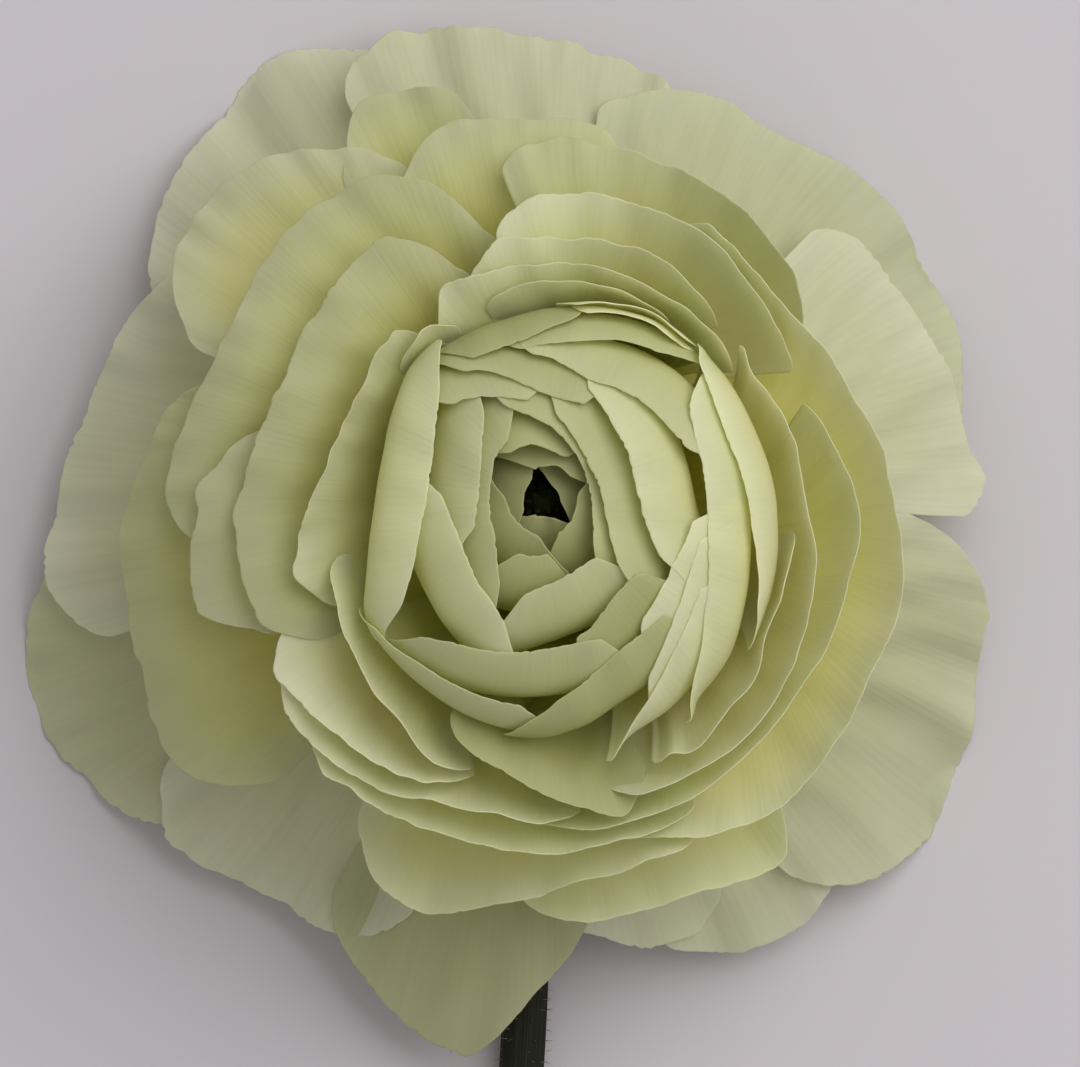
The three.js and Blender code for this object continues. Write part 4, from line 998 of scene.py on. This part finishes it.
def sepal(number, turn):
    """One sepal: out along its length, a sine arch less a square fall in height, and a swelling width."""
    rng = chance(70, number)
    across, up = np.meshgrid(np.linspace(-1, 1, SEPAL_COLUMNS), np.linspace(0, 1, SEPAL_ROWS))
    out = SEPAL_ROOT[0] + SEPAL_LENGTH * up
    height = SEPAL_ROOT[1] + SEPAL_ARCH * np.sin(0.8 * np.pi * up) - SEPAL_DROP * up**2
    swell = np.sin(np.pi * up**SWELL_LATE) - SWELL_TAPER * up
    side = across * (SEPAL_WIDTHS[0] * (1 - up / 2) + SEPAL_WIDTHS[1] * swell * SEPAL_SWELL + SEPAL_LEAST)
    edge_wave = SEPAL_WAVE[0] * across**2 * waves(rng, up * SEPAL_LENGTH, SEPAL_WAVE[1]) * up
    height = height - SEPAL_CURL * across**2 + edge_wave
    x, y = out * cosd(turn) - side * sind(turn), out * sind(turn) + side * cosd(turn)
    surface = np.stack([x, y, height], -1)
    thickness = SEPAL_SHEET + MIDRIB * np.exp(-((side / MIDRIB_WIDTH) ** 2)) * (1 - 0.7 * up)
    thickness = thickness * (0.5 + 0.5 * smooth_step(1 - np.abs(across), 0, SEPAL_THIN))
    points, faces, source = closed_sheet(surface, thickness)
    place = np.stack([side.ravel()[source] + 20 * number, (up * SEPAL_LENGTH).ravel()[source]], 1)
    return piece_of(f"sepal_{number}", points, faces, SEPAL_SKIN, ["sepals"], place=place)


sepals = [sepal(number, turn) for number, turn in enumerate(SEPAL_TURNS, 1)]
print("sepals:", len(sepals))

# %% [markdown]
# ## Stem
#
# The stalk leaves the bloom straight down, bends at once and lies along the surface to its cut end. It is a
# round section carried along a smooth route, with shallow lengthwise ribs. The section swells into the
# receptacle at one end. At the other it turns in over the cut to the hollow pith.

# %% The stem
STEM_RADIUS = 2.2
STEM_ROUTE = [
    (0, 0, 12.9), (0, -0.1, 11.4), (0, -0.5, 9.4), (-0.1, -1.6, 7.2), (-0.2, -4.6, 4.3), (-0.4, -9, 2.7),
    (-0.6, -15, 2.3), (-1.25, -30, 2.3), (-2.2, -54, 2.3), (-4.7, -85, 2.3), (-7.5, -110, 2.3),
    (-9.2, -134, 2.3),
]
STEM_RIBS, RIB_DEPTH = 11, 0.07
STEM_TAPER, SWELLING_LENGTH, RIB_START = 0.03, 1.6, (1, 6)  # shares and millimetres from the bloom
TIP_LESS = 0.3  # millimetres that the stalk's tip is thinner than the plain model's
PITH_RADIUS, PITH_DEPTH = 0.95, 2.2
STEM_STEPS, STEM_SIDES = 300, 66


def frames_along(route):
    """Directions along a route, and two unit vectors across it: one level, and the other square to both."""
    ahead = unit(np.gradient(route, axis=0))
    level = np.tile([1.0, 0.0, 0.0], (len(route), 1))
    level = unit(level - ahead * np.sum(level * ahead, 1, keepdims=True))
    return ahead, level, np.cross(ahead, level)


route = smooth_line(STEM_ROUTE, STEM_STEPS)
ahead, level, upward = frames_along(route)
travel = travelled(route)
swelling = (TIP_RADIUS - TIP_LESS - STEM_RADIUS) * np.exp(-travel / SWELLING_LENGTH)
radius = STEM_RADIUS * (1 - STEM_TAPER * travel / travel[-1]) + swelling
turn = np.linspace(0, 360, STEM_SIDES, endpoint=False)
fade = smooth_step(travel, *RIB_START)[:, None] / 2
ribs = 1 - RIB_DEPTH * (0.5 + 0.5 * cosd(STEM_RIBS * turn))[None, :] * fade
# Rings of the outside, then of the cut: a rounded corner, the flat cut, the wall of the pith and its floor
pith = PITH_RADIUS / STEM_RADIUS
cut_rings = np.array([(-0.02, 0.985), (0.05, 0.93), (0.06, 0.8), (0.02, 0.6), (0.0, pith + 0.04),
                      (-0.12, pith), (-PITH_DEPTH, pith * 0.9), (-PITH_DEPTH - 0.1, 0.12)])
spokes = cosd(turn)[None, :, None] * level[:, None] + sind(turn)[None, :, None] * upward[:, None]
outside = route[:, None] + (radius[:, None] * ribs)[..., None] * spokes
inside = (route[-1] + ahead[-1] * cut_rings[:, :1, None]
          + (radius[-1] * cut_rings[:, 1:] * ribs[-1])[..., None] * spokes[-1])
points = np.concatenate([outside, inside]).reshape(-1, 3)
points = np.concatenate([points, [route[0], route[-1] - ahead[-1] * (PITH_DEPTH + 0.1)]])
cuts, count = len(cut_rings), STEM_STEPS + len(cut_rings)
faces = tube_faces(count, STEM_SIDES)
along = np.concatenate([travel, np.full(cuts, travel[-1])])
along = np.concatenate([np.repeat(along, STEM_SIDES), [0, travel[-1]]])
around = np.concatenate([np.tile(turn * TURN_TO_UV, count), [0, 0]])
flesh = np.repeat([0.0] * (STEM_STEPS + 1) + [1.0] * (cuts - 1), STEM_SIDES)
flesh = np.concatenate([flesh, [0, 1]])
piece_of("stem_stalk", points, faces, STEM_SKIN, ["stem"], {"flesh": flesh},
         np.stack([around, along], 1))
print("stem:", round(travel[-1], 1), "mm long,", len(faces), "faces")

# %% [markdown]
# ## Down
#
# A ranunculus stalk is downy: short pale hairs stand off it and blur its outline. Each hair is a three-
# sided spike that leaves the surface along its normal and bends to one side. Real meshes are used, because
# hair curves would not go with the model.

# %% The down
HAIR_REACH = np.array([-0.1, 0.35, 0.7, 1.0])  # shares of the length at which a hair has a ring
HAIR_RADII = np.array([0.035, 0.028, 0.018, 0.005])  # millimetres
HAIR_BEND = 0.35


def down(places, outward, rng, length):
    """Points and faces of a hair at each place: its middle runs out along the normal, plus a bend to the side
    that grows with the square of the reach. Three points stand round each of its four rings."""
    count = len(places)
    size = length * rng.uniform(0.5, 1, count)[:, None, None]
    side = unit(np.cross(outward, rng.normal(size=(count, 3))))
    third = np.cross(outward, side)
    reach = HAIR_REACH[None, :, None]
    middle = places[:, None] + size * (reach * outward[:, None] + HAIR_BEND * reach**2 * side[:, None])
    corner = np.arange(3) * 120
    around = cosd(corner)[:, None] * side[:, None] + sind(corner)[:, None] * third[:, None]
    points = middle[:, :, None] + HAIR_RADII[None, :, None, None] * around[:, None]
    here = np.arange(9)
    there = here // 3 * 3 + (here + 1) % 3
    walls = np.stack([here, there, there + 3, here + 3], 1)
    first = 12 * np.arange(count)[:, None, None]
    faces = (walls + first).reshape(-1, 4).tolist()
    return points.reshape(-1, 3), faces + (np.array([[2, 1, 0], [9, 10, 11]]) + first).reshape(-1, 3).tolist()


DOWN_SKIN = finish_of("down_skin", {"Base Color": (0.24, 0.26, 0.14, 1), "Roughness": 0.6})[0]
STEM_HAIRS, STEM_HAIR_LENGTH = 2600, 0.9
HAIR_CLEARANCE = 0.4  # millimetres that the tips stay above the ground
rng = chance(80)
ring = rng.integers(8, STEM_STEPS - 2, STEM_HAIRS)
spoke = rng.integers(0, STEM_SIDES, STEM_HAIRS)
base = outside[ring, spoke]
outward = unit(base - route[ring])
clear = base[:, 2] + outward[:, 2] * STEM_HAIR_LENGTH > HAIR_CLEARANCE
points, faces = down(base[clear], outward[clear], rng, STEM_HAIR_LENGTH)
piece_of("stem_down", points, faces, DOWN_SKIN, ["stem"])
print("down on the stem:", int(clear.sum()), "hairs")

# %% [markdown]
# ## Seed head
#
# Deep in the heart sits a short column set with green carpels, each a tiny flask that ends in a beak. Only
# the top of it can be glimpsed through the hole. The carpels sit in a sunflower spiral, a golden angle
# apart.

# %% The seed head
CORE = [(0, 26.3), (1.5, 26.3), (2.1, 28.2), (2.3, 30.6), (1.9, 33.4), (1.0, 35.6), (0, 36.2)]
CARPEL_COUNT, GOLDEN_ANGLE = 46, 137.508
CARPEL_PROFILE = [(0, -0.3), (0.3, -0.2), (0.46, 0.1), (0.42, 0.4), (0.22, 0.7), (0.09, 0.95), (0.04, 1.2),
                  (0, 1.25)]
CARPEL_HEIGHTS, CARPEL_RISES, CARPEL_SINK = (28.0, 35.6), (38, 68), 0.25
SEED_TURN_TO_UV = 0.05


def carpel_heads():
    """The core and its carpels as one set of points and faces. Each carpel points outward and up."""
    points, faces = turned(smooth_line(CORE, 30), 32)
    flask_points, flask_faces = turned(CARPEL_PROFILE, 8)
    all_points, all_faces, count = [points], list(faces), len(points)
    profile = np.array(CORE)
    for i in range(CARPEL_COUNT):
        share = i / (CARPEL_COUNT - 1)
        turn = GOLDEN_ANGLE * i
        height = blend_of(CARPEL_HEIGHTS, share)
        radius = np.interp(height, profile[1:, 1], profile[1:, 0]) - CARPEL_SINK
        rise = np.radians(blend_of(CARPEL_RISES, share))
        outward = np.array([np.cos(rise) * cosd(turn), np.cos(rise) * sind(turn), np.sin(rise)])
        side = np.array([-sind(turn), cosd(turn), 0.0])
        third = np.cross(outward, side)
        axes = np.stack([side, -third, outward])
        placed = flask_points @ axes + [radius * cosd(turn), radius * sind(turn), height]
        all_points.append(placed)
        all_faces += [[n + count for n in face] for face in flask_faces]
        count += len(placed)
    return np.concatenate(all_points), all_faces


points, faces = carpel_heads()
piece_of("seed_head", points, faces, CARPEL_SKIN, ["carpels"],
         place=round_axis(points, SEED_TURN_TO_UV))
print("seed head:", CARPEL_COUNT, "carpels")
